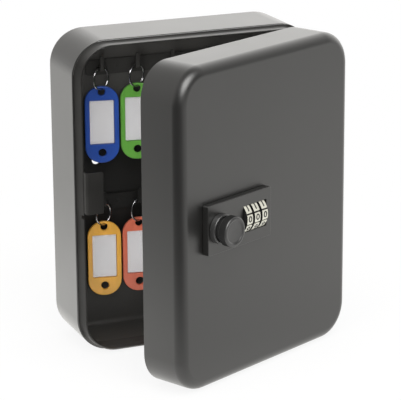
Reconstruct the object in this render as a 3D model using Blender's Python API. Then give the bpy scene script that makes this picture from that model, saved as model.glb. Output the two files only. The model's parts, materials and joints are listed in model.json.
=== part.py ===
"""A wall cabinet for keys, with a combination lock in its door and four tags on its hooks.

Lengths are metres. X runs to the right as seen from the front, Y to the back and Z up.
The origin is the centre of the back's outer face, which lies on the wall.
The door is modelled closed and hangs on an empty on the hinge axis, turned to its open rest pose.
"""

import math

import bmesh
import bpy
from mathutils import Vector

# Gaps between pieces that touch or run in each other
SEAT_GAP = 0.0003
RUN_GAP = 0.0004
CUT_OVERRUN = 0.002

# Body: a deep-drawn pan with its mouth to the front
BODY_WIDTH = 0.160
BODY_HEIGHT = 0.200
BODY_DEPTH = 0.045
BODY_SHEET = 0.001
CORNER_RADIUS = 0.022
BACK_FILLET = 0.004
WALL_HOLE_RADIUS = 0.0027
WALL_HOLE_SIDE = 0.050
WALL_HOLE_RISE = 0.012

# Collar: the frame welded inside the mouth, over which the door closes
COLLAR_SHEET = 0.001
COLLAR_PROUD = 0.008
COLLAR_SEAT = 0.009
COLLAR_JOGGLE = 0.0005
JOGGLE_LENGTH = 0.001
COLLAR_NOTCH_WIDTH = 0.002
COLLAR_NOTCH_DEPTH = 0.003
COLLAR_NOTCH_DROP = 0.010

# Door: a shallower pan of the same outline
DOOR_DEPTH = 0.0305
DOOR_SHEET = 0.001
DOOR_MARGIN = 0.0003
DOOR_FILLET = 0.0065
RIM_GAP = 0.0005
DOOR_REST_DEG = 26.2

# Hinges: two, with their barrels outside the right wall
HINGE_INSET = 0.038
HINGE_LENGTH = 0.032
KNUCKLE_RADIUS = 0.003
LEAF_SHEET = 0.001
LEAF_LENGTH = 0.014
HINGE_FORWARD = 0.0014
HINGE_PIN_RADIUS = 0.0012
PIN_HEAD_RADIUS = 0.002
PIN_HEAD_HEIGHT = 0.0008
KNUCKLE_COUNT = 3

# Lock plate on the door's face
LOCK_RISE = 0.0012
PLATE_HEIGHT = 0.031
PLATE_PROUD = 0.0045
PLATE_EDGE = 0.0008
PLATE_CORNER = 0.0015
PLATE_SIDE = -0.0316

# Number wheels on one axle across the plate
WHEEL_COUNT = 3
WHEEL_RADIUS = 0.011
WHEEL_WIDTH = 0.0059
WHEEL_PITCH = 0.007
WHEEL_PROUD = 0.003
WHEEL_CHAMFER = 0.0003
WHEEL_GROOVE = 0.0004
WHEEL_DIGITS = 10
WHEEL_BORE = 0.005
WHEELS_INSET = 0.0159
KNOB_TO_WHEELS = 0.0319
AXLE_RADIUS = 0.0015
AXLE_OVERHANG = 0.002
GATE_DISC_RADIUS = 0.007
GATE_DISC_SHEET = 0.0006
GATE_DEPTH = 0.002

# Knob, its spindle and the cam that it turns
KNOB_INSET = 0.0102
KNOB_RADIUS = 0.0093
KNOB_NECK_RADIUS = 0.0074
KNOB_LENGTH = 0.0124
KNOB_CAP_LENGTH = 0.0055
KNOB_CHAMFER = 0.0011
KNOB_RING_LENGTH = 0.004
KNOB_RING_RADIUS = 0.0092
KNOB_RING_EDGE = 0.0009
SPINDLE_RADIUS = 0.003
SPINDLE_IN_KNOB = 0.0085
SPINDLE_END_RADIUS = 0.0025
DRIVE_DISC_RADIUS = 0.0066
CAM_STANDOFF = 0.0194
CAM_SHEET = 0.0015
CAM_REACH = 0.0186
CAM_WIDTH = 0.008
CAM_HUB_RADIUS = 0.0055
CAM_SCREW_RADIUS = 0.0013
CAM_SCREW_LENGTH = 0.006
CAM_SCREW_HEAD_RADIUS = 0.004
CAM_SCREW_HEAD = 0.0022

# Lock case behind the door's face
CASE_WALL = 0.0012
CASE_INSET = 0.0015
COVER_SHEET = 0.0012
BAR_HEIGHT = 0.0018
BAR_SHEET = 0.0012
BAR_ARM_WIDTH = 0.002
JAW_WIDTH = 0.0014
JAW_RISE = 0.001
CASE_SCREW_RADIUS = 0.0014
CASE_SCREW_HEAD_RADIUS = 0.0027
CASE_SCREW_HEAD = 0.0016
CASE_SCREW_SPREAD = 0.0085
SPRING_SHEET = 0.0004
SPRING_FINGER_WIDTH = 0.0045
SPRING_FOOT_LENGTH = 0.005
RESET_PIN_RADIUS = 0.0012
RESET_HEAD_RADIUS = 0.0021
RESET_HEAD = 0.0012
RESET_FLANGE = 0.0008
RESET_TRAVEL = 0.0012
RESET_RISE = 0.0093

# Keeper on the collar's left side, which the cam turns behind
KEEPER_SHEET = 0.001
KEEPER_RISE = 0.0193
KEEPER_DROP = 0.0072
KEEPER_TAB = 0.0114
KEEPER_BEND = 0.0015
KEEPER_OVERLAP = 0.005

# Hook rails on the back panel
HOOK_COLUMNS = 5
HOOK_ROWS = 2
HOOK_PITCH = 0.024
HOOK_WIDTH = 0.0024
HOOK_SHEET = 0.0012
HOOK_BEND = 0.0022
HOOK_TIP = 0.009
RAIL_SHEET = 0.001
RAIL_HEIGHT = 0.010
RAIL_MARGIN = 0.008
RAIL_CORNER = 0.002
# Of the height that the rows of tags leave free: the share over the upper row and between the rows
ROW_FREE_SHARES = (0.2938, 0.3282)

# Key rings and tags
RING_RADIUS = 0.007
RING_WIRE = 0.001
RING_BREADTH = 0.001
RING_STANDOFF = 0.007
RING_TURN_DEG = 30.0
TAG_TURN_DEG = -10.0
TAG_WIDTH = 0.022
TAG_LENGTH = 0.050
TAG_THICKNESS = 0.0022
TAG_END_FLAT = 0.001
TAG_CHAMFER = 0.0004
TAG_EYE_RADIUS = 0.0026
TAG_EYE_DEPTH = 0.0038
TAG_EYE_CHAMFER = 0.0007
TAG_FOOT_EYE_DEPTH = 0.0066
TAG_DROP = 0.0006
POCKET_SIDE = 0.003
POCKET_TOP = 0.0092
POCKET_FOOT = 0.0121
POCKET_FLOOR = 0.0006
POCKET_CORNER = 0.0008
PANE_SHEET = 0.0005
LABEL_SHEET = 0.0002
TAGGED_HOOKS = (("blue", 0, 0), ("green", 0, 1), ("yellow", 1, 0), ("red", 1, 1))

# Facets
CORNER_STEPS = 9
FILLET_STEPS = 5
BEND_STEPS = 4
ROUND_STEPS = 28
SMALL_ROUND_STEPS = 16
RING_STEPS = 32
WIRE_STEPS = 6
TAG_CORNER_STEPS = 6
EYE_STEPS = 24

# Places that follow from the sizes above
FACE_Y = -(BODY_DEPTH + RIM_GAP + DOOR_DEPTH)
DOOR_INNER_Y = FACE_Y + DOOR_SHEET
PLATE_FACE_Y = FACE_Y - PLATE_PROUD
PLATE_WIDTH = KNOB_INSET + KNOB_TO_WHEELS + WHEELS_INSET
HINGE_X = BODY_WIDTH/2 + SEAT_GAP + KNUCKLE_RADIUS
HINGE_Y = -(BODY_DEPTH + HINGE_FORWARD)
AXLE_Y = PLATE_FACE_Y - WHEEL_PROUD + WHEEL_RADIUS
WHEELS_X = PLATE_SIDE + PLATE_WIDTH/2 - WHEELS_INSET
KNOB_X = WHEELS_X - KNOB_TO_WHEELS
GATE_GAP = (WHEEL_PITCH - WHEEL_WIDTH - GATE_DISC_SHEET)/2
WHEELS_LEFT = WHEELS_X - WHEEL_PITCH*(WHEEL_COUNT - 1)/2 - WHEEL_WIDTH/2
WHEELS_RIGHT = WHEELS_LEFT + WHEEL_PITCH*WHEEL_COUNT
WHEEL_CLEAR_RADIUS = WHEEL_RADIUS + RUN_GAP
CASE_FRONT_Y = DOOR_INNER_Y + SEAT_GAP
CASE_FLOOR_Y = CASE_FRONT_Y + CASE_WALL
CASE_BACK_Y = AXLE_Y + WHEEL_RADIUS + 2*RUN_GAP
COVER_Y = CASE_BACK_Y + SEAT_GAP
COVER_BACK_Y = COVER_Y + COVER_SHEET
CASE_LEFT = PLATE_SIDE - PLATE_WIDTH/2 + CASE_INSET
CASE_RIGHT = PLATE_SIDE + PLATE_WIDTH/2 - CASE_INSET
BAR_FRONT_Y = AXLE_Y - BAR_SHEET/2
BAR_BACK_Y = AXLE_Y + BAR_SHEET/2
BAR_LOW = LOCK_RISE + WHEEL_CLEAR_RADIUS + RUN_GAP
BAR_HIGH = BAR_LOW + BAR_HEIGHT
BAR_ARM_LEFT = KNOB_X + DRIVE_DISC_RADIUS + RUN_GAP
BAR_ARM_RIGHT = BAR_ARM_LEFT + BAR_ARM_WIDTH
POCKET_HIGH = BAR_HIGH + GATE_DEPTH + RUN_GAP
POCKET_LOW = LOCK_RISE - WHEEL_CLEAR_RADIUS - SPRING_SHEET - 2*SEAT_GAP
CASE_HIGH = POCKET_HIGH + CASE_WALL
CASE_LOW = POCKET_LOW - CASE_WALL
CASE_SCREW_X = (BAR_ARM_RIGHT + WHEELS_LEFT)/2
CAM_Y = FACE_Y + CAM_STANDOFF
KEEPER_TAB_Y = CAM_Y - RUN_GAP
COLLAR_LEFT_INSIDE = -BODY_WIDTH/2 + BODY_SHEET + SEAT_GAP + COLLAR_SHEET + COLLAR_JOGGLE
RAIL_FRONT_Y = -(BODY_SHEET + SEAT_GAP + RAIL_SHEET)
RING_Y = -(BODY_SHEET + RING_STANDOFF)
RING_HANG = RING_WIRE/2 + SEAT_GAP
TAG_CORNER = (TAG_WIDTH - TAG_END_FLAT)/2
POCKET_WIDTH = TAG_WIDTH - 2*POCKET_SIDE
POCKET_LENGTH = TAG_LENGTH - POCKET_TOP - POCKET_FOOT


def circle(radius, steps, middle=(0.0, 0.0)):
    """Points of a circle, counter-clockwise."""
    turns = [2*math.pi*i/steps for i in range(steps)]
    return [(middle[0] + radius*math.cos(a), middle[1] + radius*math.sin(a)) for a in turns]


def arc(middle, radius, start_deg, stop_deg, steps):
    """Points along an arc, with both ends."""
    turns = [math.radians(start_deg + (stop_deg - start_deg)*i/steps) for i in range(steps + 1)]
    return [(middle[0] + radius*math.cos(a), middle[1] + radius*math.sin(a)) for a in turns]


def rectangle(low, high):
    """The four corners of an upright rectangle."""
    return [(low[0], low[1]), (high[0], low[1]), (high[0], high[1]), (low[0], high[1])]


def rounded_rectangle(width, height, radius, steps, inset=0.0, middle=(0.0, 0.0)):
    """A rectangle with round corners, drawn in by an inset that its corners share."""
    reach = (width/2 - radius, height/2 - radius)
    points = []
    for side, rise, start in ((1, 1, 0), (-1, 1, 90), (-1, -1, 180), (1, -1, 270)):
        centre = (middle[0] + side*reach[0], middle[1] + rise*reach[1])
        points += arc(centre, radius - inset, start, start + 90, steps)
    return points


def across_x(outline, x):
    """Places an outline of (y, z) points in the plane at x."""
    return [Vector((x, u, v)) for u, v in outline]


def across_y(outline, y):
    """Places an outline of (x, z) points in the plane at y."""
    return [Vector((u, y, v)) for u, v in outline]


def across_z(outline, z):
    """Places an outline of (x, y) points in the plane at z."""
    return [Vector((u, v, z)) for u, v in outline]


def loft(rings, closed=False):
    """Skins a stack of rings with equal counts; an open stack is capped at both ends."""
    mesh = bmesh.new()
    loops = [[mesh.verts.new(point) for point in ring] for ring in rings]
    pairs = list(zip(loops, loops[1:]))
    if closed:
        pairs.append((loops[-1], loops[0]))
    for lower, upper in pairs:
        for i, corner in enumerate(lower):
            j = (i + 1) % len(lower)
            mesh.faces.new((corner, lower[j], upper[j], upper[i]))
    if not closed:
        mesh.faces.new(loops[0])
        mesh.faces.new(loops[-1][::-1])
    bmesh.ops.recalc_face_normals(mesh, faces=mesh.faces)
    return mesh


def slab_x(outline, start, stop):
    """An outline of (y, z) points, carried along X."""
    return loft([across_x(outline, start), across_x(outline, stop)])


def slab_y(outline, start, stop):
    """An outline of (x, z) points, carried along Y."""
    return loft([across_y(outline, start), across_y(outline, stop)])


def slab_z(outline, start, stop):
    """An outline of (x, y) points, carried along Z."""
    return loft([across_z(outline, start), across_z(outline, stop)])


def block(low, high):
    """A box between two corners."""
    return slab_y(rectangle((low[0], low[2]), (high[0], high[2])), low[1], high[1])


def rod_y(radius, start, stop, x, z, steps):
    """A round bar along Y."""
    return slab_y(circle(radius, steps, (x, z)), start, stop)


def turned_y(profile, steps, closed=False):
    """A shape turned about the Y axis from (radius, y) pairs."""
    return loft([across_y(circle(radius, steps), y) for radius, y in profile], closed)


def gather(meshes):
    """One mesh that holds several separate skins."""
    whole = bmesh.new()
    for part in meshes:
        carrier = bpy.data.meshes.new("carrier")
        part.to_mesh(carrier)
        whole.from_mesh(carrier)
        bpy.data.meshes.remove(carrier)
    return whole


def paint(name, colour, roughness, metallic, alpha=1.0):
    """A plain Principled material."""
    material = bpy.data.materials.new(name)
    material.use_nodes = True
    shader = material.node_tree.nodes["Principled BSDF"]
    shader.inputs["Base Color"].default_value = (*colour, 1.0)
    shader.inputs["Roughness"].default_value = roughness
    shader.inputs["Metallic"].default_value = metallic
    shader.inputs["Alpha"].default_value = alpha
    return material


def place(name, mesh, parent, location):
    """Makes an object of a mesh under its parent."""
    data = bpy.data.meshes.new(name)
    mesh.to_mesh(data)
    mesh.free()
    thing = bpy.data.objects.new(name, data)
    bpy.context.scene.collection.objects.link(thing)
    thing.parent = parent
    thing.location = location
    return thing


def piece(name, mesh, look, parent=None, location=(0.0, 0.0, 0.0), turn_deg=0.0):
    """One named sub-part with its own material."""
    thing = place(name, mesh, parent, location)
    thing.rotation_euler.z = math.radians(turn_deg)
    thing.data.materials.append(paint(name, *look))
    thing.data.shade_smooth()
    thing.data.set_sharp_from_angle(angle=math.radians(35))
    return thing


def combine(thing, mesh, operation):
    """Adds to a sub-part, or takes from it, the volume of a hidden helper."""
    helper = place(thing.name + "_" + operation.lower(), mesh, thing.parent, thing.location)
    helper.rotation_euler = thing.rotation_euler
    helper.hide_render = True
    helper.display_type = "WIRE"
    modifier = thing.modifiers.new(helper.name, "BOOLEAN")
    modifier.operation = operation
    modifier.solver = "EXACT"
    modifier.object = helper


def cut(thing, mesh):
    """Takes a volume out of a sub-part."""
    combine(thing, mesh, "DIFFERENCE")


def axis_empty(name, location, parent=None, turn_deg=0.0):
    """An empty on a joint's axis, which carries what turns with it."""
    empty = bpy.data.objects.new(name, None)
    bpy.context.scene.collection.objects.link(empty)
    empty.parent = parent
    empty.location = location
    empty.rotation_euler.z = math.radians(turn_deg)
    return empty


# Looks: colour, roughness, metallic and alpha
DARK_PAINT = ((0.045, 0.045, 0.047), 0.42, 0.0)
INSIDE_PAINT = ((0.035, 0.035, 0.036), 0.5, 0.0)
ZINC = ((0.55, 0.56, 0.57), 0.35, 1.0)
BRIGHT_STEEL = ((0.78, 0.78, 0.80), 0.18, 1.0)
DARK_KNOB = ((0.05, 0.05, 0.052), 0.35, 0.0)
WHEEL_FACE = ((0.80, 0.79, 0.74), 0.35, 0.0)
PAPER = ((0.80, 0.79, 0.80), 0.8, 0.0)
CLEAR = ((0.95, 0.95, 0.95), 0.1, 0.0, 0.3)
TAG_COLOURS = {
    "blue": (0.045, 0.13, 0.50),
    "green": (0.20, 0.62, 0.07),
    "yellow": (0.80, 0.42, 0.08),
    "red": (0.62, 0.11, 0.09),
}


def pan(width, height, corner, sheet, fillet, rim_y, floor_y):
    """A drawn pan: flat floor, round floor edge, straight wall and open rim."""
    into = 1 if floor_y > rim_y else -1
    def ring(inset, y):
        return across_y(rounded_rectangle(width, height, corner, CORNER_STEPS, inset), y)
    def floor_edge(radius):
        turns = [math.radians(90*i/FILLET_STEPS) for i in range(FILLET_STEPS + 1)]
        centre = floor_y - into*fillet
        return [ring(fillet - radius*math.sin(a), centre + into*radius*math.cos(a)) for a in turns]
    outer = floor_edge(fillet) + [ring(0.0, rim_y)]
    inner = floor_edge(fillet - sheet) + [ring(sheet, rim_y)]
    return loft(outer + inner[::-1])


def make_body_pan():
    """The body, with its mouth to the front and two round holes for the wall screws."""
    shell = pan(BODY_WIDTH, BODY_HEIGHT, CORNER_RADIUS, BODY_SHEET, BACK_FILLET, -BODY_DEPTH, 0.0)
    body = piece("body_pan", shell, DARK_PAINT)
    holes = [rod_y(WALL_HOLE_RADIUS, -BODY_SHEET - CUT_OVERRUN, CUT_OVERRUN, side*WALL_HOLE_SIDE,
                   WALL_HOLE_RISE, SMALL_ROUND_STEPS) for side in (-1, 1)]
    cut(body, gather(holes))


def make_inner_collar():
    """A joggled frame: its back lies in the body's mouth and its front stands out of it."""
    seat_inset = BODY_SHEET + SEAT_GAP
    front_inset = seat_inset + COLLAR_JOGGLE
    back_y = -BODY_DEPTH + COLLAR_SEAT
    joggle_y = -BODY_DEPTH + JOGGLE_LENGTH
    front_y = -BODY_DEPTH - COLLAR_PROUD
    outside = [(seat_inset, back_y), (seat_inset, joggle_y),
               (front_inset, -BODY_DEPTH), (front_inset, front_y)]
    inside = [(inset + COLLAR_SHEET, y) for inset, y in outside[::-1]]
    rings = [across_y(rounded_rectangle(BODY_WIDTH, BODY_HEIGHT, CORNER_RADIUS, CORNER_STEPS, inset), y)
             for inset, y in outside + inside]
    collar = piece("inner_collar", loft(rings, closed=True), INSIDE_PAINT)
    middle = LOCK_RISE - COLLAR_NOTCH_DROP
    half = COLLAR_NOTCH_WIDTH/2
    low = (COLLAR_LEFT_INSIDE - COLLAR_SHEET - CUT_OVERRUN, front_y - CUT_OVERRUN, middle - half)
    high = (COLLAR_LEFT_INSIDE + CUT_OVERRUN, front_y + COLLAR_NOTCH_DEPTH, middle + half)
    cut(collar, block(low, high))


def make_keeper():
    """An angle welded inside the collar, with its tab across the cam's way out."""
    outside_x = COLLAR_LEFT_INSIDE + SEAT_GAP
    inside_x = outside_x + KEEPER_SHEET
    front_y = KEEPER_TAB_Y - KEEPER_SHEET
    tail_y = -BODY_DEPTH + KEEPER_OVERLAP
    bend = (outside_x + KEEPER_BEND, front_y + KEEPER_BEND)
    outline = [(inside_x, tail_y), (outside_x, tail_y)]
    outline += arc(bend, KEEPER_BEND, 180, 270, BEND_STEPS)
    outline += [(outside_x + KEEPER_TAB, front_y), (outside_x + KEEPER_TAB, KEEPER_TAB_Y)]
    outline += arc(bend, KEEPER_BEND - KEEPER_SHEET, 270, 180, BEND_STEPS)
    low = LOCK_RISE - KEEPER_DROP
    high = LOCK_RISE + KEEPER_RISE
    piece("keeper", slab_z(outline, low, high), INSIDE_PAINT)


def hook_outline():
    """Side view of one hook as (y, z) points: out of the rail, then up to its tip."""
    root_y = RAIL_FRONT_Y + RAIL_SHEET/2
    tip_back_y = RING_Y - RING_BREADTH/2/math.cos(math.radians(RING_TURN_DEG)) - hook_lean() - SEAT_GAP
    tip_front_y = tip_back_y - HOOK_SHEET
    bend = (tip_front_y + HOOK_BEND, HOOK_BEND - HOOK_SHEET)
    outline = [(root_y, 0.0), (root_y, -HOOK_SHEET)]
    outline += arc(bend, HOOK_BEND, 270, 180, BEND_STEPS)
    tip = (tip_front_y + HOOK_SHEET/2, HOOK_TIP - HOOK_SHEET/2)
    outline += arc(tip, HOOK_SHEET/2, 180, 0, BEND_STEPS)
    outline += arc(bend, HOOK_BEND - HOOK_SHEET, 180, 270, BEND_STEPS)
    return outline


def hook_lean():
    """How far the turned ring strays along Y within the hook's width."""
    return HOOK_WIDTH/2*math.tan(math.radians(RING_TURN_DEG))


def hook_x(column):
    """Middle of a hook, counted from the left."""
    return (column - (HOOK_COLUMNS - 1)/2)*HOOK_PITCH


def tag_reach():
    """How far a hanging tag reaches below the bottom of its hook."""
    return 2*RING_RADIUS - RING_HANG - tag_top() + TAG_LENGTH


def hook_z(row):
    """Bottom of a row's hooks, counted from the top."""
    ceiling = BODY_HEIGHT/2 - BODY_SHEET
    row_height = HOOK_TIP + tag_reach()
    free = 2*ceiling - HOOK_ROWS*row_height
    return ceiling - HOOK_TIP - row*row_height - free*sum(ROW_FREE_SHARES[:row + 1])


def make_hook_rail(name, row):
    """A strip spot-welded to the back panel, with its hooks bent out to the front."""
    length = (HOOK_COLUMNS - 1)*HOOK_PITCH + 2*RAIL_MARGIN
    outline = rounded_rectangle(length, RAIL_HEIGHT, RAIL_CORNER, BEND_STEPS)
    strip = slab_y(outline, RAIL_FRONT_Y, RAIL_FRONT_Y + RAIL_SHEET)
    rail = piece(name, strip, INSIDE_PAINT, None, (0.0, 0.0, hook_z(row)))
    side = HOOK_WIDTH/2
    middles = [hook_x(column) for column in range(HOOK_COLUMNS)]
    hooks = [slab_x(hook_outline(), middle - side, middle + side) for middle in middles]
    combine(rail, gather(hooks), "UNION")


def knuckle_length():
    """Length of one knuckle of a hinge's barrel."""
    return (HINGE_LENGTH - (KNUCKLE_COUNT - 1)*SEAT_GAP)/KNUCKLE_COUNT


def leaf_outline(inside, toward):
    """Top view of a leaf about the hinge axis: a plate along the wall, rolled into a barrel."""
    outside = inside + LEAF_SHEET
    meet = math.degrees(math.acos(-outside/KNUCKLE_RADIUS))
    outline = [(outside, LEAF_LENGTH), (inside, LEAF_LENGTH), (inside, 0.0)]
    outline += arc((0.0, 0.0), KNUCKLE_RADIUS, 180, 540 - meet, SMALL_ROUND_STEPS)[1:]
    return [(x, y*toward) for x, y in outline]


def make_leaf(name, inside, toward, own_knuckles, parent, location):
    """One hinge leaf; the knuckles that it lacks are cut out of its barrel edge."""
    outline = leaf_outline(inside, toward)
    half = HINGE_LENGTH/2
    leaf = piece(name, slab_z(outline, -half, half), INSIDE_PAINT, parent, location)
    clear = KNUCKLE_RADIUS + RUN_GAP
    step = knuckle_length() + SEAT_GAP
    gaps = []
    for place_up in range(KNUCKLE_COUNT):
        if place_up not in own_knuckles:
            low = -half + place_up*step
            bottom = low - SEAT_GAP if place_up else low - CUT_OVERRUN
            top = low + step if place_up < KNUCKLE_COUNT - 1 else low + knuckle_length() + CUT_OVERRUN
            gaps.append(block((inside - CUT_OVERRUN, -clear, bottom), (clear, clear, top)))
    cut(leaf, gather(gaps))
    bore = circle(HINGE_PIN_RADIUS + SEAT_GAP, SMALL_ROUND_STEPS)
    cut(leaf, slab_z(bore, -half - CUT_OVERRUN, half + CUT_OVERRUN))


def make_hinge(name, rise, door_axis):
    """Two leaves and their pin."""
    body_spot = (HINGE_X, HINGE_Y, rise)
    body_inside = BODY_WIDTH/2 + SEAT_GAP - HINGE_X
    door_inside = BODY_WIDTH/2 - DOOR_MARGIN + SEAT_GAP - HINGE_X
    outer_knuckles = range(0, KNUCKLE_COUNT, 2)
    inner_knuckles = range(1, KNUCKLE_COUNT, 2)
    make_leaf(name + "_body_leaf", body_inside, 1, outer_knuckles, None, body_spot)
    make_leaf(name + "_door_leaf", door_inside, -1, inner_knuckles, door_axis, (0.0, 0.0, rise))
    half = HINGE_LENGTH/2
    head_low = half + SEAT_GAP
    rings = [across_z(circle(radius, SMALL_ROUND_STEPS), z) for radius, z in (
        (HINGE_PIN_RADIUS, -half), (HINGE_PIN_RADIUS, head_low),
        (PIN_HEAD_RADIUS, head_low), (PIN_HEAD_RADIUS, head_low + PIN_HEAD_HEIGHT))]
    piece(name + "_pin", loft(rings), ZINC, None, body_spot)


def wheel_window(front_y, back_y):
    """The opening that clears the wheels: a lying cylinder, cut flat at two depths."""
    left = WHEELS_LEFT - RUN_GAP
    right = WHEELS_RIGHT + RUN_GAP
    turns = [2*math.pi*i/ROUND_STEPS for i in range(ROUND_STEPS)]
    outline = []
    for a in turns:
        y = AXLE_Y + WHEEL_CLEAR_RADIUS*math.cos(a)
        outline.append((min(max(y, front_y), back_y), LOCK_RISE + WHEEL_CLEAR_RADIUS*math.sin(a)))
    return slab_x(outline, left, right)


def case_screw_spots():
    """The two long screws stand above and below the plate's middle line."""
    return [(CASE_SCREW_X, LOCK_RISE + rise) for rise in (CASE_SCREW_SPREAD, -CASE_SCREW_SPREAD)]


def screw_holes(start, stop):
    """Clearance for the two long screws."""
    radius = CASE_SCREW_RADIUS + SEAT_GAP
    return [rod_y(radius, start, stop, x, z, SMALL_ROUND_STEPS) for x, z in case_screw_spots()]


def spindle_hole(start, stop):
    """Clearance for the knob's spindle."""
    return rod_y(SPINDLE_RADIUS + RUN_GAP, start, stop, KNOB_X, LOCK_RISE, SMALL_ROUND_STEPS)


def wheel_slot(start, stop):
    """A plain slot for the wheels in thin sheet."""
    low = (WHEELS_LEFT - RUN_GAP, start, LOCK_RISE - WHEEL_CLEAR_RADIUS)
    high = (WHEELS_RIGHT + RUN_GAP, stop, LOCK_RISE + WHEEL_CLEAR_RADIUS)
    return block(low, high)


def make_door_pan(door_axis, door_spot):
    """The door, with openings in its face for the lock."""
    inset = 2*DOOR_MARGIN
    shell = pan(BODY_WIDTH - inset, BODY_HEIGHT - inset, CORNER_RADIUS - DOOR_MARGIN, DOOR_SHEET,
                DOOR_FILLET, FACE_Y + DOOR_DEPTH, FACE_Y)
    door = piece("door_pan", shell, DARK_PAINT, door_axis, door_spot)
    start = FACE_Y - CUT_OVERRUN
    stop = DOOR_INNER_Y + CUT_OVERRUN
    cut(door, gather([wheel_slot(start, stop), spindle_hole(start, stop)] + screw_holes(start, stop)))


def make_lock_plate(door_axis, door_spot):
    """A raised plate with a soft front edge, slotted for the wheels."""
    back_y = FACE_Y - SEAT_GAP
    middle = (PLATE_SIDE, LOCK_RISE)
    def ring(inset, y):
        outline = rounded_rectangle(PLATE_WIDTH, PLATE_HEIGHT, PLATE_CORNER, BEND_STEPS, inset, middle)
        return across_y(outline, y)
    half_edge = PLATE_EDGE*(1 - math.cos(math.radians(45)))
    rings = [ring(0.0, back_y), ring(0.0, PLATE_FACE_Y + PLATE_EDGE),
             ring(half_edge, PLATE_FACE_Y + half_edge), ring(PLATE_EDGE, PLATE_FACE_Y)]
    plate = piece("lock_plate", loft(rings), DARK_PAINT, door_axis, door_spot)
    start = PLATE_FACE_Y - CUT_OVERRUN
    stop = back_y + CUT_OVERRUN
    thread_start = back_y - PLATE_PROUD/2
    openings = [wheel_window(start, stop), spindle_hole(start, stop)]
    cut(plate, gather(openings + screw_holes(thread_start, stop)))


def make_lock_case(door_axis, door_spot):
    """A moulded block with one pocket for the spindle, one for the wheels and a slot for the bar."""
    body = block((CASE_LEFT, CASE_FRONT_Y, CASE_LOW), (CASE_RIGHT, CASE_BACK_Y, CASE_HIGH))
    case = piece("lock_case", body, DARK_KNOB, door_axis, door_spot)
    stop = CASE_BACK_Y + CUT_OVERRUN
    knob_left = KNOB_X - DRIVE_DISC_RADIUS - RUN_GAP
    foot_low = jaw_low() - JAW_RISE - BAR_HEIGHT - RUN_GAP
    cut(case, block((knob_left, CASE_FLOOR_Y, foot_low), (BAR_ARM_RIGHT + RUN_GAP, stop, POCKET_HIGH)))
    cut(case, block((WHEELS_LEFT - RUN_GAP, CASE_FLOOR_Y, POCKET_LOW),
                    (WHEELS_RIGHT + RUN_GAP, stop, POCKET_HIGH)))
    cut(case, block((KNOB_X, CASE_FLOOR_Y, BAR_LOW - RUN_GAP), (WHEELS_X, BAR_BACK_Y + RUN_GAP, POCKET_HIGH)))
    start = CASE_FRONT_Y - CUT_OVERRUN
    openings = [wheel_slot(start, CASE_FLOOR_Y + CASE_WALL/2), spindle_hole(start, CASE_FLOOR_Y + CASE_WALL)]
    cut(case, gather(openings + screw_holes(start, stop)))
    axle_bore = axle_outline(AXLE_RADIUS + SEAT_GAP)
    cut(case, slab_x(axle_bore, axle_left() - SEAT_GAP, CASE_RIGHT + CUT_OVERRUN))


def make_case_cover(door_axis, door_spot):
    """The sheet that closes the lock case to the back."""
    sheet = block((CASE_LEFT, COVER_Y, CASE_LOW), (CASE_RIGHT, COVER_BACK_Y, CASE_HIGH))
    cover = piece("case_cover", sheet, ZINC, door_axis, door_spot)
    start = COVER_Y - CUT_OVERRUN
    stop = COVER_BACK_Y + CUT_OVERRUN
    reset_hole = rod_y(RESET_PIN_RADIUS + SEAT_GAP, start, stop,
                       WHEELS_X, LOCK_RISE + RESET_RISE, SMALL_ROUND_STEPS)
    cut(cover, gather([spindle_hole(start, stop), reset_hole] + screw_holes(start, stop)))


def make_case_screws(door_axis, door_spot):
    """Long screws from the cover through the case and the door into the plate."""
    head_y = COVER_BACK_Y + SEAT_GAP
    tip_y = FACE_Y - PLATE_PROUD/2
    slot = CASE_SCREW_HEAD/4
    reach = CASE_SCREW_HEAD_RADIUS + CUT_OVERRUN
    for number, (x, z) in enumerate(case_screw_spots(), 1):
        profile = [(CASE_SCREW_RADIUS, tip_y), (CASE_SCREW_RADIUS, head_y),
                   (CASE_SCREW_HEAD_RADIUS, head_y), (CASE_SCREW_HEAD_RADIUS, head_y + CASE_SCREW_HEAD)]
        rings = [across_y(circle(radius, SMALL_ROUND_STEPS, (x, z)), y) for radius, y in profile]
        screw = piece("case_screw_%d" % number, loft(rings), ZINC, door_axis, door_spot)
        cut(screw, block((x - reach, head_y + CASE_SCREW_HEAD/2, z - slot),
                         (x + reach, head_y + 2*CASE_SCREW_HEAD, z + slot)))


def axle_left():
    """Left end of the wheels' axle."""
    return WHEELS_LEFT - RUN_GAP - AXLE_OVERHANG


def axle_outline(radius):
    """A circle about the wheels' axle."""
    return circle(radius, SMALL_ROUND_STEPS, (AXLE_Y, LOCK_RISE))


def make_wheel_axle(door_axis, door_spot):
    """The wheels' axle, from a bore in the case's middle to its right end."""
    axle = slab_x(axle_outline(AXLE_RADIUS), axle_left(), CASE_RIGHT)
    piece("wheel_axle", axle, ZINC, door_axis, door_spot)


def wheel_outline(radius):
    """A wheel's edge with a shallow finger groove between each two digits."""
    points = []
    pitch_shares = (-0.5, -0.36, 0.0, 0.36)
    for digit in range(WHEEL_DIGITS):
        for share in pitch_shares:
            a = 2*math.pi*(digit + share)/WHEEL_DIGITS
            reach = radius - (WHEEL_GROOVE if share == pitch_shares[0] else 0.0)
            points.append((-reach*math.cos(a), reach*math.sin(a)))
    return points


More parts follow.
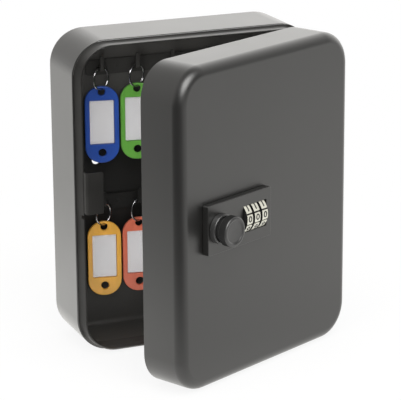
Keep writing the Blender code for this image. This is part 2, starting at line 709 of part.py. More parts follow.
def make_number_wheel(number, door_axis, middle):
    """A ring of ten digit places; its bore sits on the code sleeve."""
    half = WHEEL_WIDTH/2
    inner = [Vector(point).normalized()*WHEEL_BORE for point in wheel_outline(WHEEL_RADIUS)]
    def edge(radius, x):
        return across_x(wheel_outline(radius), x)
    def bore(x):
        return across_x(inner, x)
    rings = [edge(WHEEL_RADIUS - WHEEL_CHAMFER, -half), edge(WHEEL_RADIUS, -half + WHEEL_CHAMFER),
             edge(WHEEL_RADIUS, half - WHEEL_CHAMFER), edge(WHEEL_RADIUS - WHEEL_CHAMFER, half),
             bore(half), bore(-half)]
    piece("number_wheel_%d" % number, loft(rings, closed=True), WHEEL_FACE, door_axis, middle)


def make_code_sleeve(number, door_axis, middle):
    """The hub inside a wheel, with a gated disc beside the wheel."""
    half = WHEEL_WIDTH/2
    hub = WHEEL_BORE - SEAT_GAP
    bore = AXLE_RADIUS + SEAT_GAP
    disc_left = half + GATE_GAP
    disc_right = disc_left + GATE_DISC_SHEET
    profile = [(hub, -half), (hub, disc_left), (GATE_DISC_RADIUS, disc_left),
               (GATE_DISC_RADIUS, disc_right), (bore, disc_right), (bore, -half)]
    rings = [across_x(circle(radius, ROUND_STEPS), x) for radius, x in profile]
    sleeve = piece("code_sleeve_%d" % number, loft(rings, closed=True), ZINC, door_axis, middle)
    gate_side = BAR_SHEET/2 + RUN_GAP
    cut(sleeve, block((disc_left - GATE_GAP/2, -gate_side, GATE_DISC_RADIUS - GATE_DEPTH),
                      (disc_right + CUT_OVERRUN, gate_side, GATE_DISC_RADIUS + CUT_OVERRUN)))


def make_wheels(door_axis):
    """Each number wheel with its code sleeve, from the left."""
    for number in range(1, WHEEL_COUNT + 1):
        x = WHEELS_X + (number - 1 - (WHEEL_COUNT - 1)/2)*WHEEL_PITCH
        middle = (x - HINGE_X, AXLE_Y - HINGE_Y, LOCK_RISE)
        make_number_wheel(number, door_axis, middle)
        make_code_sleeve(number, door_axis, middle)


def jaw_low():
    """Height of the lower jaw's tip, under the drive disc's wide side."""
    return LOCK_RISE - DRIVE_DISC_RADIUS - RUN_GAP


def make_locking_bar(door_axis, door_spot):
    """A comb with a fin in each sleeve's gate, and a yoke that the drive disc pushes up and down."""
    half = JAW_WIDTH/2
    fin_low = LOCK_RISE + GATE_DISC_RADIUS - GATE_DEPTH + RUN_GAP
    upper_jaw = LOCK_RISE + DRIVE_DISC_RADIUS - GATE_DEPTH + RUN_GAP
    foot_top = jaw_low() - JAW_RISE
    foot_low = foot_top - BAR_HEIGHT
    outline = [(KNOB_X - half, BAR_HIGH), (KNOB_X - half, upper_jaw), (KNOB_X + half, upper_jaw),
               (KNOB_X + half, BAR_LOW), (BAR_ARM_LEFT, BAR_LOW), (BAR_ARM_LEFT, foot_top),
               (KNOB_X + half, foot_top), (KNOB_X + half, jaw_low()), (KNOB_X - half, jaw_low()),
               (KNOB_X - half, foot_low), (BAR_ARM_RIGHT, foot_low), (BAR_ARM_RIGHT, BAR_LOW)]
    for number in range(WHEEL_COUNT):
        left = WHEELS_LEFT + WHEEL_WIDTH + GATE_GAP + number*WHEEL_PITCH
        right = left + GATE_DISC_SHEET
        outline += [(left, BAR_LOW), (left, fin_low), (right, fin_low), (right, BAR_LOW)]
    outline[-1] = (right, BAR_HIGH)
    piece("locking_bar", slab_y(outline, BAR_FRONT_Y, BAR_BACK_Y), ZINC, door_axis, door_spot)


def make_detent_spring(door_axis, door_spot):
    """A leaf spring under the wheels: a foot on the case's floor and one finger for each wheel."""
    foot_z = POCKET_LOW + SEAT_GAP
    back_y = CASE_BACK_Y - RUN_GAP
    heel_y = back_y - SPRING_SHEET
    reach = WHEEL_CLEAR_RADIUS + SPRING_SHEET
    top_a = math.radians(-38)
    low_a = math.radians(-52)
    touch = (AXLE_Y + reach*math.cos(top_a), LOCK_RISE + reach*math.sin(top_a))
    lower = (AXLE_Y + reach*math.cos(low_a), LOCK_RISE + reach*math.sin(low_a))
    outline = [(heel_y - SPRING_FOOT_LENGTH, foot_z), (back_y, foot_z), (back_y, touch[1]), touch,
               lower, (lower[0] + SPRING_SHEET, lower[1] - SPRING_SHEET/4),
               (heel_y, touch[1] - SPRING_SHEET), (heel_y, foot_z + SPRING_SHEET),
               (heel_y - SPRING_FOOT_LENGTH, foot_z + SPRING_SHEET)]
    left = WHEELS_LEFT
    right = WHEELS_LEFT + WHEEL_PITCH*(WHEEL_COUNT - 1) + WHEEL_WIDTH
    spring = piece("detent_spring", slab_x(outline, left, right), ZINC, door_axis, door_spot)
    side = (WHEEL_WIDTH - SPRING_FINGER_WIDTH)/2
    slots = []
    for number in range(WHEEL_COUNT - 1):
        start = left + number*WHEEL_PITCH + WHEEL_WIDTH - side
        stop = left + (number + 1)*WHEEL_PITCH + side
        slots.append(block((start, lower[0] - CUT_OVERRUN, foot_z + 2*SPRING_SHEET),
                           (stop, back_y + CUT_OVERRUN, touch[1] + CUT_OVERRUN)))
    cut(spring, gather(slots))


def make_reset_pin(door_axis):
    """A flanged push pin in the cover, for setting a new code."""
    flange_y = COVER_Y - SEAT_GAP - COVER_BACK_Y
    head_y = RESET_TRAVEL + SEAT_GAP
    profile = [(RESET_HEAD_RADIUS, flange_y - RESET_FLANGE), (RESET_HEAD_RADIUS, flange_y),
               (RESET_PIN_RADIUS, flange_y), (RESET_PIN_RADIUS, head_y),
               (RESET_HEAD_RADIUS, head_y), (RESET_HEAD_RADIUS, head_y + RESET_HEAD)]
    spot = (WHEELS_X - HINGE_X, COVER_BACK_Y - HINGE_Y, LOCK_RISE + RESET_RISE)
    piece("reset_pin", turned_y(profile, SMALL_ROUND_STEPS), ZINC, door_axis, spot)


def make_knob_ring(door_axis, door_spot):
    """The fixed ring on the plate, round the knob's neck."""
    back_y = PLATE_FACE_Y - SEAT_GAP
    front_y = PLATE_FACE_Y - KNOB_RING_LENGTH
    inner = KNOB_NECK_RADIUS + RUN_GAP
    soft = KNOB_RING_EDGE*(1 - math.cos(math.radians(45)))
    profile = [(inner, back_y), (KNOB_RING_RADIUS, back_y), (KNOB_RING_RADIUS, front_y + KNOB_RING_EDGE),
               (KNOB_RING_RADIUS - soft, front_y + soft), (KNOB_RING_RADIUS - KNOB_RING_EDGE, front_y),
               (inner, front_y)]
    rings = [across_y(circle(radius, RING_STEPS, (KNOB_X, LOCK_RISE)), y) for radius, y in profile]
    piece("knob_ring", loft(rings, closed=True), DARK_KNOB, door_axis, door_spot)


def make_knob(knob_axis):
    """A stepped knob with a blind bore for its spindle; y is 0 on the plate's face."""
    cap_y = -(KNOB_LENGTH - KNOB_CAP_LENGTH)
    bore = SPINDLE_RADIUS + SEAT_GAP
    bore_end = -(SPINDLE_IN_KNOB + SEAT_GAP)
    profile = [(KNOB_RADIUS - KNOB_CHAMFER, -KNOB_LENGTH), (KNOB_RADIUS, -KNOB_LENGTH + KNOB_CHAMFER),
               (KNOB_RADIUS, cap_y), (KNOB_NECK_RADIUS, cap_y), (KNOB_NECK_RADIUS, -SEAT_GAP),
               (bore, -SEAT_GAP), (bore, bore_end)]
    piece("knob", turned_y(profile, RING_STEPS), DARK_KNOB, knob_axis)


def make_spindle(knob_axis):
    """The shaft from the knob to the cam, drilled at its back end for the cam's screw."""
    shoulder_y = CAM_Y - SEAT_GAP - PLATE_FACE_Y
    end_y = CAM_Y + CAM_SHEET - SEAT_GAP - PLATE_FACE_Y
    hole = CAM_SCREW_RADIUS + SEAT_GAP
    hole_end = end_y - CAM_SCREW_LENGTH - SEAT_GAP
    profile = [(SPINDLE_RADIUS, -SPINDLE_IN_KNOB), (SPINDLE_RADIUS, shoulder_y),
               (SPINDLE_END_RADIUS, shoulder_y), (SPINDLE_END_RADIUS, end_y),
               (hole, end_y), (hole, hole_end)]
    piece("knob_spindle", turned_y(profile, SMALL_ROUND_STEPS), ZINC, knob_axis)


def drive_reach(turn):
    """Radius of the drive disc at a clockwise turn from its top, in degrees."""
    narrow = DRIVE_DISC_RADIUS - GATE_DEPTH
    if turn < 90:
        return narrow + GATE_DEPTH*turn/90
    if turn < 180:
        return DRIVE_DISC_RADIUS
    if turn < 270:
        return DRIVE_DISC_RADIUS - GATE_DEPTH*(turn - 180)/90
    return narrow


def make_drive_disc(knob_axis):
    """The disc on the spindle that lifts the locking bar by its own change of radius."""
    front = BAR_FRONT_Y - PLATE_FACE_Y
    back = BAR_BACK_Y - PLATE_FACE_Y
    turns = [360*i/RING_STEPS for i in range(RING_STEPS)]
    ways = [Vector((math.sin(math.radians(turn)), math.cos(math.radians(turn)))) for turn in turns]
    rim = [way*drive_reach(turn) for way, turn in zip(ways, turns)]
    bore = [way*(SPINDLE_RADIUS + SEAT_GAP) for way in ways]
    rings = [across_y(bore, front), across_y(rim, front), across_y(rim, back), across_y(bore, back)]
    piece("drive_disc", loft(rings, closed=True), ZINC, knob_axis)


def make_cam(knob_axis):
    """The flat bolt: upright when the lock is open, behind the keeper when it is shut."""
    front = CAM_Y - PLATE_FACE_Y
    tip = (0.0, CAM_REACH - CAM_WIDTH/2)
    side_deg = math.degrees(math.asin(CAM_WIDTH/2/CAM_HUB_RADIUS))
    outline = arc(tip, CAM_WIDTH/2, 0, 180, SMALL_ROUND_STEPS//2)
    outline += arc((0.0, 0.0), CAM_HUB_RADIUS, 90 + side_deg, 450 - side_deg, SMALL_ROUND_STEPS)
    cam = piece("cam", slab_y(outline, front, front + CAM_SHEET), ZINC, knob_axis)
    bore = circle(SPINDLE_END_RADIUS + SEAT_GAP, SMALL_ROUND_STEPS)
    cut(cam, slab_y(bore, front - CUT_OVERRUN, front + CAM_SHEET + CUT_OVERRUN))


def make_cam_screw(knob_axis):
    """The slotted screw that holds the cam on its spindle."""
    head = CAM_Y + CAM_SHEET + SEAT_GAP - PLATE_FACE_Y
    tip = CAM_Y + CAM_SHEET - SEAT_GAP - PLATE_FACE_Y - CAM_SCREW_LENGTH
    profile = [(CAM_SCREW_RADIUS, tip), (CAM_SCREW_RADIUS, head), (CAM_SCREW_HEAD_RADIUS, head),
               (CAM_SCREW_HEAD_RADIUS, head + CAM_SCREW_HEAD)]
    screw = piece("cam_screw", turned_y(profile, SMALL_ROUND_STEPS), ZINC, knob_axis)
    slot = CAM_SCREW_HEAD/5
    reach = CAM_SCREW_HEAD_RADIUS + CUT_OVERRUN
    cut(screw, block((-reach, head + CAM_SCREW_HEAD/2, -slot), (reach, head + 2*CAM_SCREW_HEAD, slot)))


def make_lock(door_axis, door_spot):
    """All of the lock; its knob turns on an empty of its own."""
    make_lock_plate(door_axis, door_spot)
    make_lock_case(door_axis, door_spot)
    make_case_cover(door_axis, door_spot)
    make_case_screws(door_axis, door_spot)
    make_wheel_axle(door_axis, door_spot)
    make_wheels(door_axis)
    make_locking_bar(door_axis, door_spot)
    make_detent_spring(door_axis, door_spot)
    make_reset_pin(door_axis)
    make_knob_ring(door_axis, door_spot)
    knob_axis = axis_empty("knob_axis", (KNOB_X - HINGE_X, PLATE_FACE_Y - HINGE_Y, LOCK_RISE), door_axis)
    make_knob(knob_axis)
    make_spindle(knob_axis)
    make_drive_disc(knob_axis)
    make_cam(knob_axis)
    make_cam_screw(knob_axis)


def make_key_ring(colour, spot):
    """A flat-sided ring that hangs from its own origin, which is the middle of its top wire."""
    section = [(RING_WIRE/2*math.cos(a), RING_BREADTH/2*math.sin(a))
               for a in (2*math.pi*(i + 0.5)/WIRE_STEPS for i in range(WIRE_STEPS))]
    rings = []
    for i in range(RING_STEPS):
        a = 2*math.pi*i/RING_STEPS
        ring = [(RING_RADIUS + r, y) for r, y in section]
        rings.append([Vector((r*math.sin(a), y, r*math.cos(a) - RING_RADIUS)) for r, y in ring])
    return piece("key_ring_" + colour, loft(rings, closed=True), BRIGHT_STEEL, None, spot, RING_TURN_DEG)


def tag_top():
    """Height of the tag's top edge over the middle of the ring's bottom wire."""
    return RING_WIRE/2 + TAG_DROP - TAG_EYE_RADIUS + TAG_EYE_DEPTH


def tag_eye(depth):
    """A round eye through the tag with a widened mouth on both faces."""
    half = TAG_THICKNESS/2
    rise = tag_top() - depth
    profile = [(TAG_EYE_RADIUS + TAG_EYE_CHAMFER + CUT_OVERRUN, -half - CUT_OVERRUN),
               (TAG_EYE_RADIUS, -half + TAG_EYE_CHAMFER), (TAG_EYE_RADIUS, half - TAG_EYE_CHAMFER),
               (TAG_EYE_RADIUS + TAG_EYE_CHAMFER + CUT_OVERRUN, half + CUT_OVERRUN)]
    return loft([across_y(circle(radius, EYE_STEPS, (0.0, rise)), y) for radius, y in profile])


def pocket_outline(inset):
    """The paper's window, drawn in by an inset."""
    middle = (0.0, tag_top() - POCKET_TOP - POCKET_LENGTH/2)
    return rounded_rectangle(POCKET_WIDTH, POCKET_LENGTH, POCKET_CORNER, BEND_STEPS, inset, middle)


def make_tag(colour, ring):
    """A tag frame with its paper and its clear pane, on the ring's bottom wire."""
    half = TAG_THICKNESS/2
    middle = (0.0, tag_top() - TAG_LENGTH/2)
    def ring_at(inset, y):
        outline = rounded_rectangle(TAG_WIDTH, TAG_LENGTH, TAG_CORNER, TAG_CORNER_STEPS, inset, middle)
        return across_y(outline, y)
    rings = [ring_at(TAG_CHAMFER, -half), ring_at(0.0, -half + TAG_CHAMFER),
             ring_at(0.0, half - TAG_CHAMFER), ring_at(TAG_CHAMFER, half)]
    spot = (0.0, 0.0, -2*RING_RADIUS)
    turn = TAG_TURN_DEG - RING_TURN_DEG
    frame = piece("tag_frame_" + colour, loft(rings), (TAG_COLOURS[colour], 0.35, 0.0), ring, spot, turn)
    floor_y = half - POCKET_FLOOR
    pocket = slab_y(pocket_outline(0.0), -half - CUT_OVERRUN, floor_y)
    cut(frame, gather([pocket, tag_eye(TAG_EYE_DEPTH), tag_eye(TAG_LENGTH - TAG_FOOT_EYE_DEPTH)]))
    label_y = floor_y - SEAT_GAP
    label = slab_y(pocket_outline(SEAT_GAP), label_y - LABEL_SHEET, label_y)
    piece("tag_label_" + colour, label, PAPER, ring, spot, turn)
    pane_y = label_y - LABEL_SHEET - SEAT_GAP
    pane = slab_y(pocket_outline(SEAT_GAP), pane_y - PANE_SHEET, pane_y)
    piece("tag_pane_" + colour, pane, CLEAR, ring, spot, turn)


def make_tags():
    """One ring and one tag for each hook in use."""
    for colour, row, column in TAGGED_HOOKS:
        spot = (hook_x(column), RING_Y, hook_z(row) + RING_HANG)
        make_tag(colour, make_key_ring(colour, spot))


def main():
    """Builds every piece at its rest place."""
    for old in list(bpy.data.objects):
        bpy.data.objects.remove(old, do_unlink=True)
    make_body_pan()
    make_inner_collar()
    make_keeper()
    make_hook_rail("hook_rail_upper", 0)
    make_hook_rail("hook_rail_lower", 1)
    door_axis = axis_empty("door_axis", (HINGE_X, HINGE_Y, 0.0), None, DOOR_REST_DEG)
    door_spot = (-HINGE_X, -HINGE_Y, 0.0)
    make_door_pan(door_axis, door_spot)
    make_hinge("hinge_upper", BODY_HEIGHT/2 - HINGE_INSET, door_axis)
    make_hinge("hinge_lower", HINGE_INSET - BODY_HEIGHT/2, door_axis)
    make_lock(door_axis, door_spot)
    make_tags()


main()
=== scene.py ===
"""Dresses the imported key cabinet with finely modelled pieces, finishes, soft light and a camera.

Lengths are metres in the frame of the solids: X right, Y to the wall, Z up.
Pieces on the door are modelled with the door shut and then turned to its open rest place.
"""
import json
from math import atan2, cos, pi, radians, sin

import bmesh
import bpy
from bpy.props import FloatProperty, FloatVectorProperty, PointerProperty
from mathutils import Matrix, Vector

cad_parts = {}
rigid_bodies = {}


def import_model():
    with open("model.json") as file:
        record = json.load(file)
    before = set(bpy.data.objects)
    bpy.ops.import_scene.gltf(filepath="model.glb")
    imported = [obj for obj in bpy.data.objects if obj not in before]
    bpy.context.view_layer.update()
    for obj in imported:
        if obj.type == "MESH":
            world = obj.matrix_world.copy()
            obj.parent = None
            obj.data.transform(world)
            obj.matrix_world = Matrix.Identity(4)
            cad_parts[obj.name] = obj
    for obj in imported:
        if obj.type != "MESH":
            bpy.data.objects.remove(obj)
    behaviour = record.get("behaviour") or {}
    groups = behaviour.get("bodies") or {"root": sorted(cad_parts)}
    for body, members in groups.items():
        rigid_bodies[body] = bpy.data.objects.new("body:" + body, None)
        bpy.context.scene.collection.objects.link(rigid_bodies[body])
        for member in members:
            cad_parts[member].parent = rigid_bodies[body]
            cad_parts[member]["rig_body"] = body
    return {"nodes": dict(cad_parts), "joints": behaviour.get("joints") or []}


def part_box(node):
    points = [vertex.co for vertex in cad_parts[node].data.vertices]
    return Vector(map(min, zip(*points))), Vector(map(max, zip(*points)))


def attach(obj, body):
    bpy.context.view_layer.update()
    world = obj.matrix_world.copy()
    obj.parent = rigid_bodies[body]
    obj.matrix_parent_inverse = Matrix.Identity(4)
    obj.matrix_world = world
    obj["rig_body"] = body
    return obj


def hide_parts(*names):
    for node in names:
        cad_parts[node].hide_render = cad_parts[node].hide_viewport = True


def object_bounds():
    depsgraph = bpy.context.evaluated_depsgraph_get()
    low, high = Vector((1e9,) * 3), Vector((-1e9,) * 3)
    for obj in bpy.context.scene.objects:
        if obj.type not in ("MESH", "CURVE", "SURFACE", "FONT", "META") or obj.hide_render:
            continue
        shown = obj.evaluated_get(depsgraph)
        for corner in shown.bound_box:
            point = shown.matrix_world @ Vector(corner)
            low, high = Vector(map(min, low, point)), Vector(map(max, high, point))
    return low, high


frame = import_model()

bl_info = {
    "name": "Key cabinet dresser",
    "version": (1, 0, 0),
    "blender": (4, 5, 0),
    "location": "View3D > Sidebar > Key cabinet",
    "description": "Models and finishes the visible pieces of a wall key cabinet",
    "category": "Object",
}

SOLIDS_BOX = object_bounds()
JOINTS = {joint["name"]: joint for joint in frame["joints"]}
TAG_COLOURS = ("blue", "green", "yellow", "red")
WHEELS = ("number_wheel_1", "number_wheel_2", "number_wheel_3")
CASE_SCREWS = ("case_screw_1", "case_screw_2")
DIGITS = 10
LEFT_RIGHT, FRONT_BACK, UPRIGHT = (1, 0, 0), (0, 1, 0), (0, 0, 1)
NEARLY = 0.99    # least cosine between directions that count as the same
TOUCH = 1e-6    # greatest distance between places that count as the same
NEAR = 1e-5    # the same for places that were reckoned in steps
CORNER_SEGMENTS = 14    # in a large round corner
TIP_SEGMENTS = 4    # in a small one
NECK_RADIUS = 0.0074    # of the knob
WINDOW_LEFT, WINDOW_RIGHT = 0.0004, 0.0015    # room beside the number wheels
OVERCUT = 0.002    # how far a cutter reaches beyond a surface


# Places taken from the solids

def placed(spot, degrees):
    """The matrix of a turn about Z and then a move from the origin to a spot."""
    return Matrix.Translation(spot) @ Matrix.Rotation(radians(degrees), 4, "Z")


STILL = Matrix.Identity(4)
HINGE = Vector(JOINTS["door_swing"]["pos_m"])
DOOR_OPEN = placed(HINGE, -JOINTS["door_swing"]["range_deg"][0]) @ Matrix.Translation(-HINGE)


def box_in(place, *nodes):
    """The box round some nodes, in the coordinates that a matrix carries to their place."""
    back = place.inverted()
    points = [back @ vertex.co for node in nodes for vertex in frame["nodes"][node].data.vertices]
    low = Vector([min(point[i] for point in points) for i in range(3)])
    high = Vector([max(point[i] for point in points) for i in range(3)])
    return low, high


def middle_in(place, *nodes):
    """The middle of the nodes' box."""
    low, high = box_in(place, *nodes)
    return (low + high)/2


def ring_place(colour):
    """The place of a key ring: the middle of its top wire is its origin."""
    return placed(JOINTS["key_ring_%s_swing" % colour]["pos_m"], 30)


def tag_place(colour):
    """The place of a tag: the middle of its ring's bottom wire is its origin."""
    return placed(JOINTS["tag_%s_swing" % colour]["pos_m"], -10)


# Modelling by hand, in code

def put_down():
    """Leaves edit mode and selects nothing."""
    if bpy.context.object is not None and bpy.context.object.mode != "OBJECT":
        bpy.ops.object.mode_set(mode="OBJECT")
    bpy.ops.object.select_all(action="DESELECT")


def take(thing):
    """Makes one object the selected and active one."""
    put_down()
    thing.select_set(True)
    bpy.context.view_layer.objects.active = thing
    return thing


def open_mesh(thing):
    """Enters edit mode with nothing selected."""
    take(thing)
    bpy.ops.object.mode_set(mode="EDIT")
    bpy.ops.mesh.select_mode(type="VERT")
    bpy.ops.mesh.select_all(action="DESELECT")


def pick_all():
    """Selects the whole mesh in edit mode."""
    bpy.ops.mesh.select_all(action="SELECT")


def pick(kind, test):
    """Selects in edit mode the vertices, edges or faces that pass a test."""
    bpy.ops.mesh.select_mode(type=kind)
    bpy.ops.mesh.select_all(action="DESELECT")
    mesh = bmesh.from_edit_mesh(bpy.context.object.data)
    for item in {"VERT": mesh.verts, "EDGE": mesh.edges, "FACE": mesh.faces}[kind]:
        if test(item):
            item.select_set(True)
    mesh.select_flush_mode()
    bmesh.update_edit_mesh(bpy.context.object.data)


def remove_faces(test):
    """Removes in edit mode the faces that pass a test."""
    pick("FACE", test)
    bpy.ops.mesh.delete(type="FACE")


def bevel_edges(test, width, segments):
    """Rounds in edit mode the edges that pass a test."""
    pick("EDGE", test)
    bpy.ops.mesh.bevel(offset=width, segments=segments, affect="EDGES")


def draw_out(way):
    """Extrudes what is selected along a way."""
    bpy.ops.mesh.extrude_region_move(TRANSFORM_OT_translate={"value": way})


def resize(value, middle=(0, 0, 0)):
    """Stretches what is selected about a middle."""
    bpy.ops.transform.resize(value=value, center_override=middle)


def cut_across(y):
    """Cuts the whole mesh in edit mode by the upright plane at a depth."""
    pick_all()
    bpy.ops.mesh.bisect(plane_co=(0, y, 0), plane_no=FRONT_BACK)


def edges_along(way):
    """A test for edges that run along a direction."""
    way = Vector(way).normalized()
    return lambda edge: abs((edge.verts[1].co - edge.verts[0].co).normalized().dot(way)) > NEARLY


def edges_at(y, reach=TOUCH):
    """A test for edges that lie in the upright plane at a depth."""
    return lambda edge: all(abs(vert.co.y - y) < reach for vert in edge.verts)


def settle(name):
    """Names the new object and moves its place into its mesh."""
    thing = bpy.context.object
    put_down()
    take(thing)
    bpy.ops.object.transform_apply()
    thing.name = name
    thing.data.name = name
    return thing


def add_box(name, low, high):
    """A cube at its size and place."""
    put_down()
    low, high = Vector(low), Vector(high)
    bpy.ops.mesh.primitive_cube_add(size=1.0, location=(low + high)/2, scale=high - low)
    return settle(name)


def rounded_box(name, low, high, corner, segments):
    """A box whose edges from front to back are rounded; edit mode stays on."""
    box = add_box(name, low, high)
    open_mesh(box)
    bevel_edges(edges_along(FRONT_BACK), corner, segments)
    return box


def add_rod(name, radius, start, stop, steps=48):
    """A cylinder between two points."""
    put_down()
    start, stop = Vector(start), Vector(stop)
    way = stop - start
    bpy.ops.mesh.primitive_cylinder_add(vertices=steps, radius=radius, depth=way.length,
                                        location=(start + stop)/2,
                                        rotation=way.to_track_quat("Z", "Y").to_euler())
    return settle(name)


def add_chain(name, points, closed=False):
    """Edges drawn point by point from one vertex; edit mode stays on."""
    put_down()
    points = [Vector(point) for point in points]
    bpy.ops.mesh.primitive_plane_add(size=0.001, location=points[0])
    thing = settle(name)
    open_mesh(thing)
    pick_all()
    bpy.ops.mesh.merge(type="CENTER")
    for start, stop in zip(points, points[1:]):
        bpy.ops.mesh.extrude_vertices_move(TRANSFORM_OT_translate={"value": stop - start})
    if closed:
        ends = (points[0], points[-1])
        pick("VERT", lambda vert: min((vert.co - end).length for end in ends) < 1e-7)
        bpy.ops.mesh.edge_face_add()
    return thing


def tidy_mesh():
    """Merges doubles and points all faces outwards; edit mode ends."""
    pick_all()
    bpy.ops.mesh.remove_doubles(threshold=TOUCH)
    bpy.ops.mesh.normals_make_consistent(inside=False)
    put_down()


def add_turned(name, profile, middle, axis, side, steps=64, closed=False):
    """Spins a chain of (radius, height) points about an axis through a middle."""
    middle, axis, side = Vector(middle), Vector(axis), Vector(side)
    points = [middle + side*radius + axis*height for radius, height in profile]
    thing = add_chain(name, points, closed)
    pick_all()
    bpy.ops.mesh.spin(steps=steps, angle=2*pi, center=middle, axis=axis)
    tidy_mesh()
    return thing


def arc_points(middle, radius, start, stop, steps):
    """Points along an arc from one angle to another, in degrees, with both ends."""
    turns = [radians(start + (stop - start)*i/steps) for i in range(steps + 1)]
    return [(middle[0] + radius*cos(a), middle[1] + radius*sin(a)) for a in turns]


def apply(thing, kind, **settings):
    """Adds a modifier with its settings and applies it."""
    take(thing)
    modifier = thing.modifiers.new(kind.title(), kind)
    for key, value in settings.items():
        setattr(modifier, key, value)
    bpy.ops.object.modifier_apply(modifier=modifier.name)
    return thing


def thicken(thing, sheet, offset=-1.0):
    """Gives a skin its sheet's thickness."""
    return apply(thing, "SOLIDIFY", thickness=sheet, offset=offset, use_even_offset=True)


def bent_strip(name, path, way, sheet, axis, tip_round):
    """A strip of sheet along a path, whose end, the farthest along an axis, is rounded."""
    strip = add_chain(name, path)
    pick_all()
    draw_out(way)
    tidy_mesh()
    thicken(strip, sheet, 0.0)
    along, tip = edges_along(FRONT_BACK), path[-1][axis]
    round_edges(strip, lambda edge: along(edge) and edge.verts[0].co[axis] > tip - TOUCH,
                tip_round, TIP_SEGMENTS)
    return strip


def round_edges(thing, test, width, segments):
    """Rounds the edges that pass a test."""
    open_mesh(thing)
    bevel_edges(test, width, segments)
    put_down()


def soften(thing, width, segments=3, degrees=40):
    """Rounds every edge sharper than an angle."""
    return apply(thing, "BEVEL", width=width, segments=segments, limit_method="ANGLE",
                 angle_limit=radians(degrees), use_clamp_overlap=True, harden_normals=False)


def soften_slightly(thing, width):
    """Rounds the sharp edges of a small piece."""
    return soften(thing, width, 2, 50)


def thicken_skin(skin, middle, sheet):
    """Points an open skin's faces away from its middle and thickens it inwards."""
    tidy_mesh()
    if sum(face.area*face.normal.dot(face.center - middle) for face in skin.data.polygons) < 0:
        open_mesh(skin)
        pick_all()
        bpy.ops.mesh.flip_normals()
        put_down()
    return thicken(skin, sheet)


def drawn_pan(name, low, high, floor_way, corner, fillet, sheet):
    """A deep-drawn pan: round corners, a round floor edge and an open mouth."""
    pan = rounded_box(name, low, high, corner, CORNER_SEGMENTS)
    remove_faces(lambda face: face.normal.y*floor_way < -NEARLY)
    fillet_segments = 8
    bevel_edges(edges_at(high.y if floor_way > 0 else low.y), fillet, fillet_segments)
    return thicken_skin(pan, (low + high)/2, sheet)


def join(things, name):
    """Joins several objects into the first."""
    take(things[0])
    for thing in things[1:]:
        thing.select_set(True)
    bpy.ops.object.join()
    things[0].name = name
    things[0].data.name = name
    return things[0]


def throw_away(*things):
    """Removes objects that only served to make others."""
    for thing in things:
        bpy.data.objects.remove(thing, do_unlink=True)


def carve(thing, cutters, operation="DIFFERENCE"):
    """Cuts some objects out of a piece, or unites them with it, and removes them."""
    for cutter in cutters:
        apply(thing, "BOOLEAN", operation=operation, solver="EXACT", object=cutter)
        throw_away(cutter)


def copy_of(thing, name):
    """A copy with its own mesh."""
    twin = thing.copy()
    twin.data = thing.data.copy()
    twin.name = name
    twin.data.name = name
    bpy.context.scene.collection.objects.link(twin)
    return twin


def put(thing, place):
    """Moves an object by a matrix and keeps the place in its mesh."""
    take(thing)
    thing.matrix_world = place
    bpy.ops.object.transform_apply()
    return thing


def dress(thing, finish):
    """Gives an object its one finish."""
    thing.data.materials.clear()
    thing.data.materials.append(look_of(finish))


def finish_piece(thing, finish, body, nodes=(), smooth=35):
    """Shades a piece, gives it its finish and hangs it on its body in place of some solids."""
    take(thing)
    bpy.ops.object.shade_smooth_by_angle(angle=radians(smooth))
    apply(thing, "WEIGHTED_NORMAL", keep_sharp=True, weight=100)
    dress(thing, finish)
    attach(thing, body)
    if nodes:
        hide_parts(*nodes)
    return thing


def paint_faces(thing, finish, test):
    """Gives the faces that pass a test a second finish."""
    thing.data.materials.append(look_of(finish))
    for face in thing.data.polygons:
        if test(face):
            face.material_index = 1


def refined(node, name, width, finish):
    """A merged copy of a small solid with its edges rounded, which stands for it."""
    solid = frame["nodes"][node]
    thing = copy_of(solid, name)
    for key in list(thing.keys()):
        del thing[key]
    thing.parent = None
    open_mesh(thing)
    pick_all()
    bpy.ops.mesh.remove_doubles(threshold=TOUCH)
    bpy.ops.mesh.dissolve_limited(angle_limit=radians(1))
    put_down()
    soften_slightly(thing, width)
    return finish_piece(thing, finish, solid["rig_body"], (node,))


# Finishes, written as expressions on sockets

class Value:
    """A number on a socket, which takes part in Python arithmetic."""

    def __init__(self, look, socket):
        self.look = look
        self.socket = socket

    def maths(self, operation, *numbers):
        return self.look.node("ShaderNodeMath", dict(enumerate(numbers)), operation=operation)

    def __add__(self, other):
        return self.maths("ADD", self, other)

    def __radd__(self, other):
        return self.maths("ADD", other, self)

    def __sub__(self, other):
        return self.maths("SUBTRACT", self, other)

    def __rsub__(self, other):
        return self.maths("SUBTRACT", other, self)

    def __mul__(self, other):
        return self.maths("MULTIPLY", self, other)

    def __rmul__(self, other):
        return self.maths("MULTIPLY", other, self)

    def between(self, low, high):
        """0 below low, 1 above high and a soft step between them."""
        return self.look.node("ShaderNodeMapRange", {"Value": self, "From Min": low,
                              "From Max": high}, interpolation_type="SMOOTHSTEP")


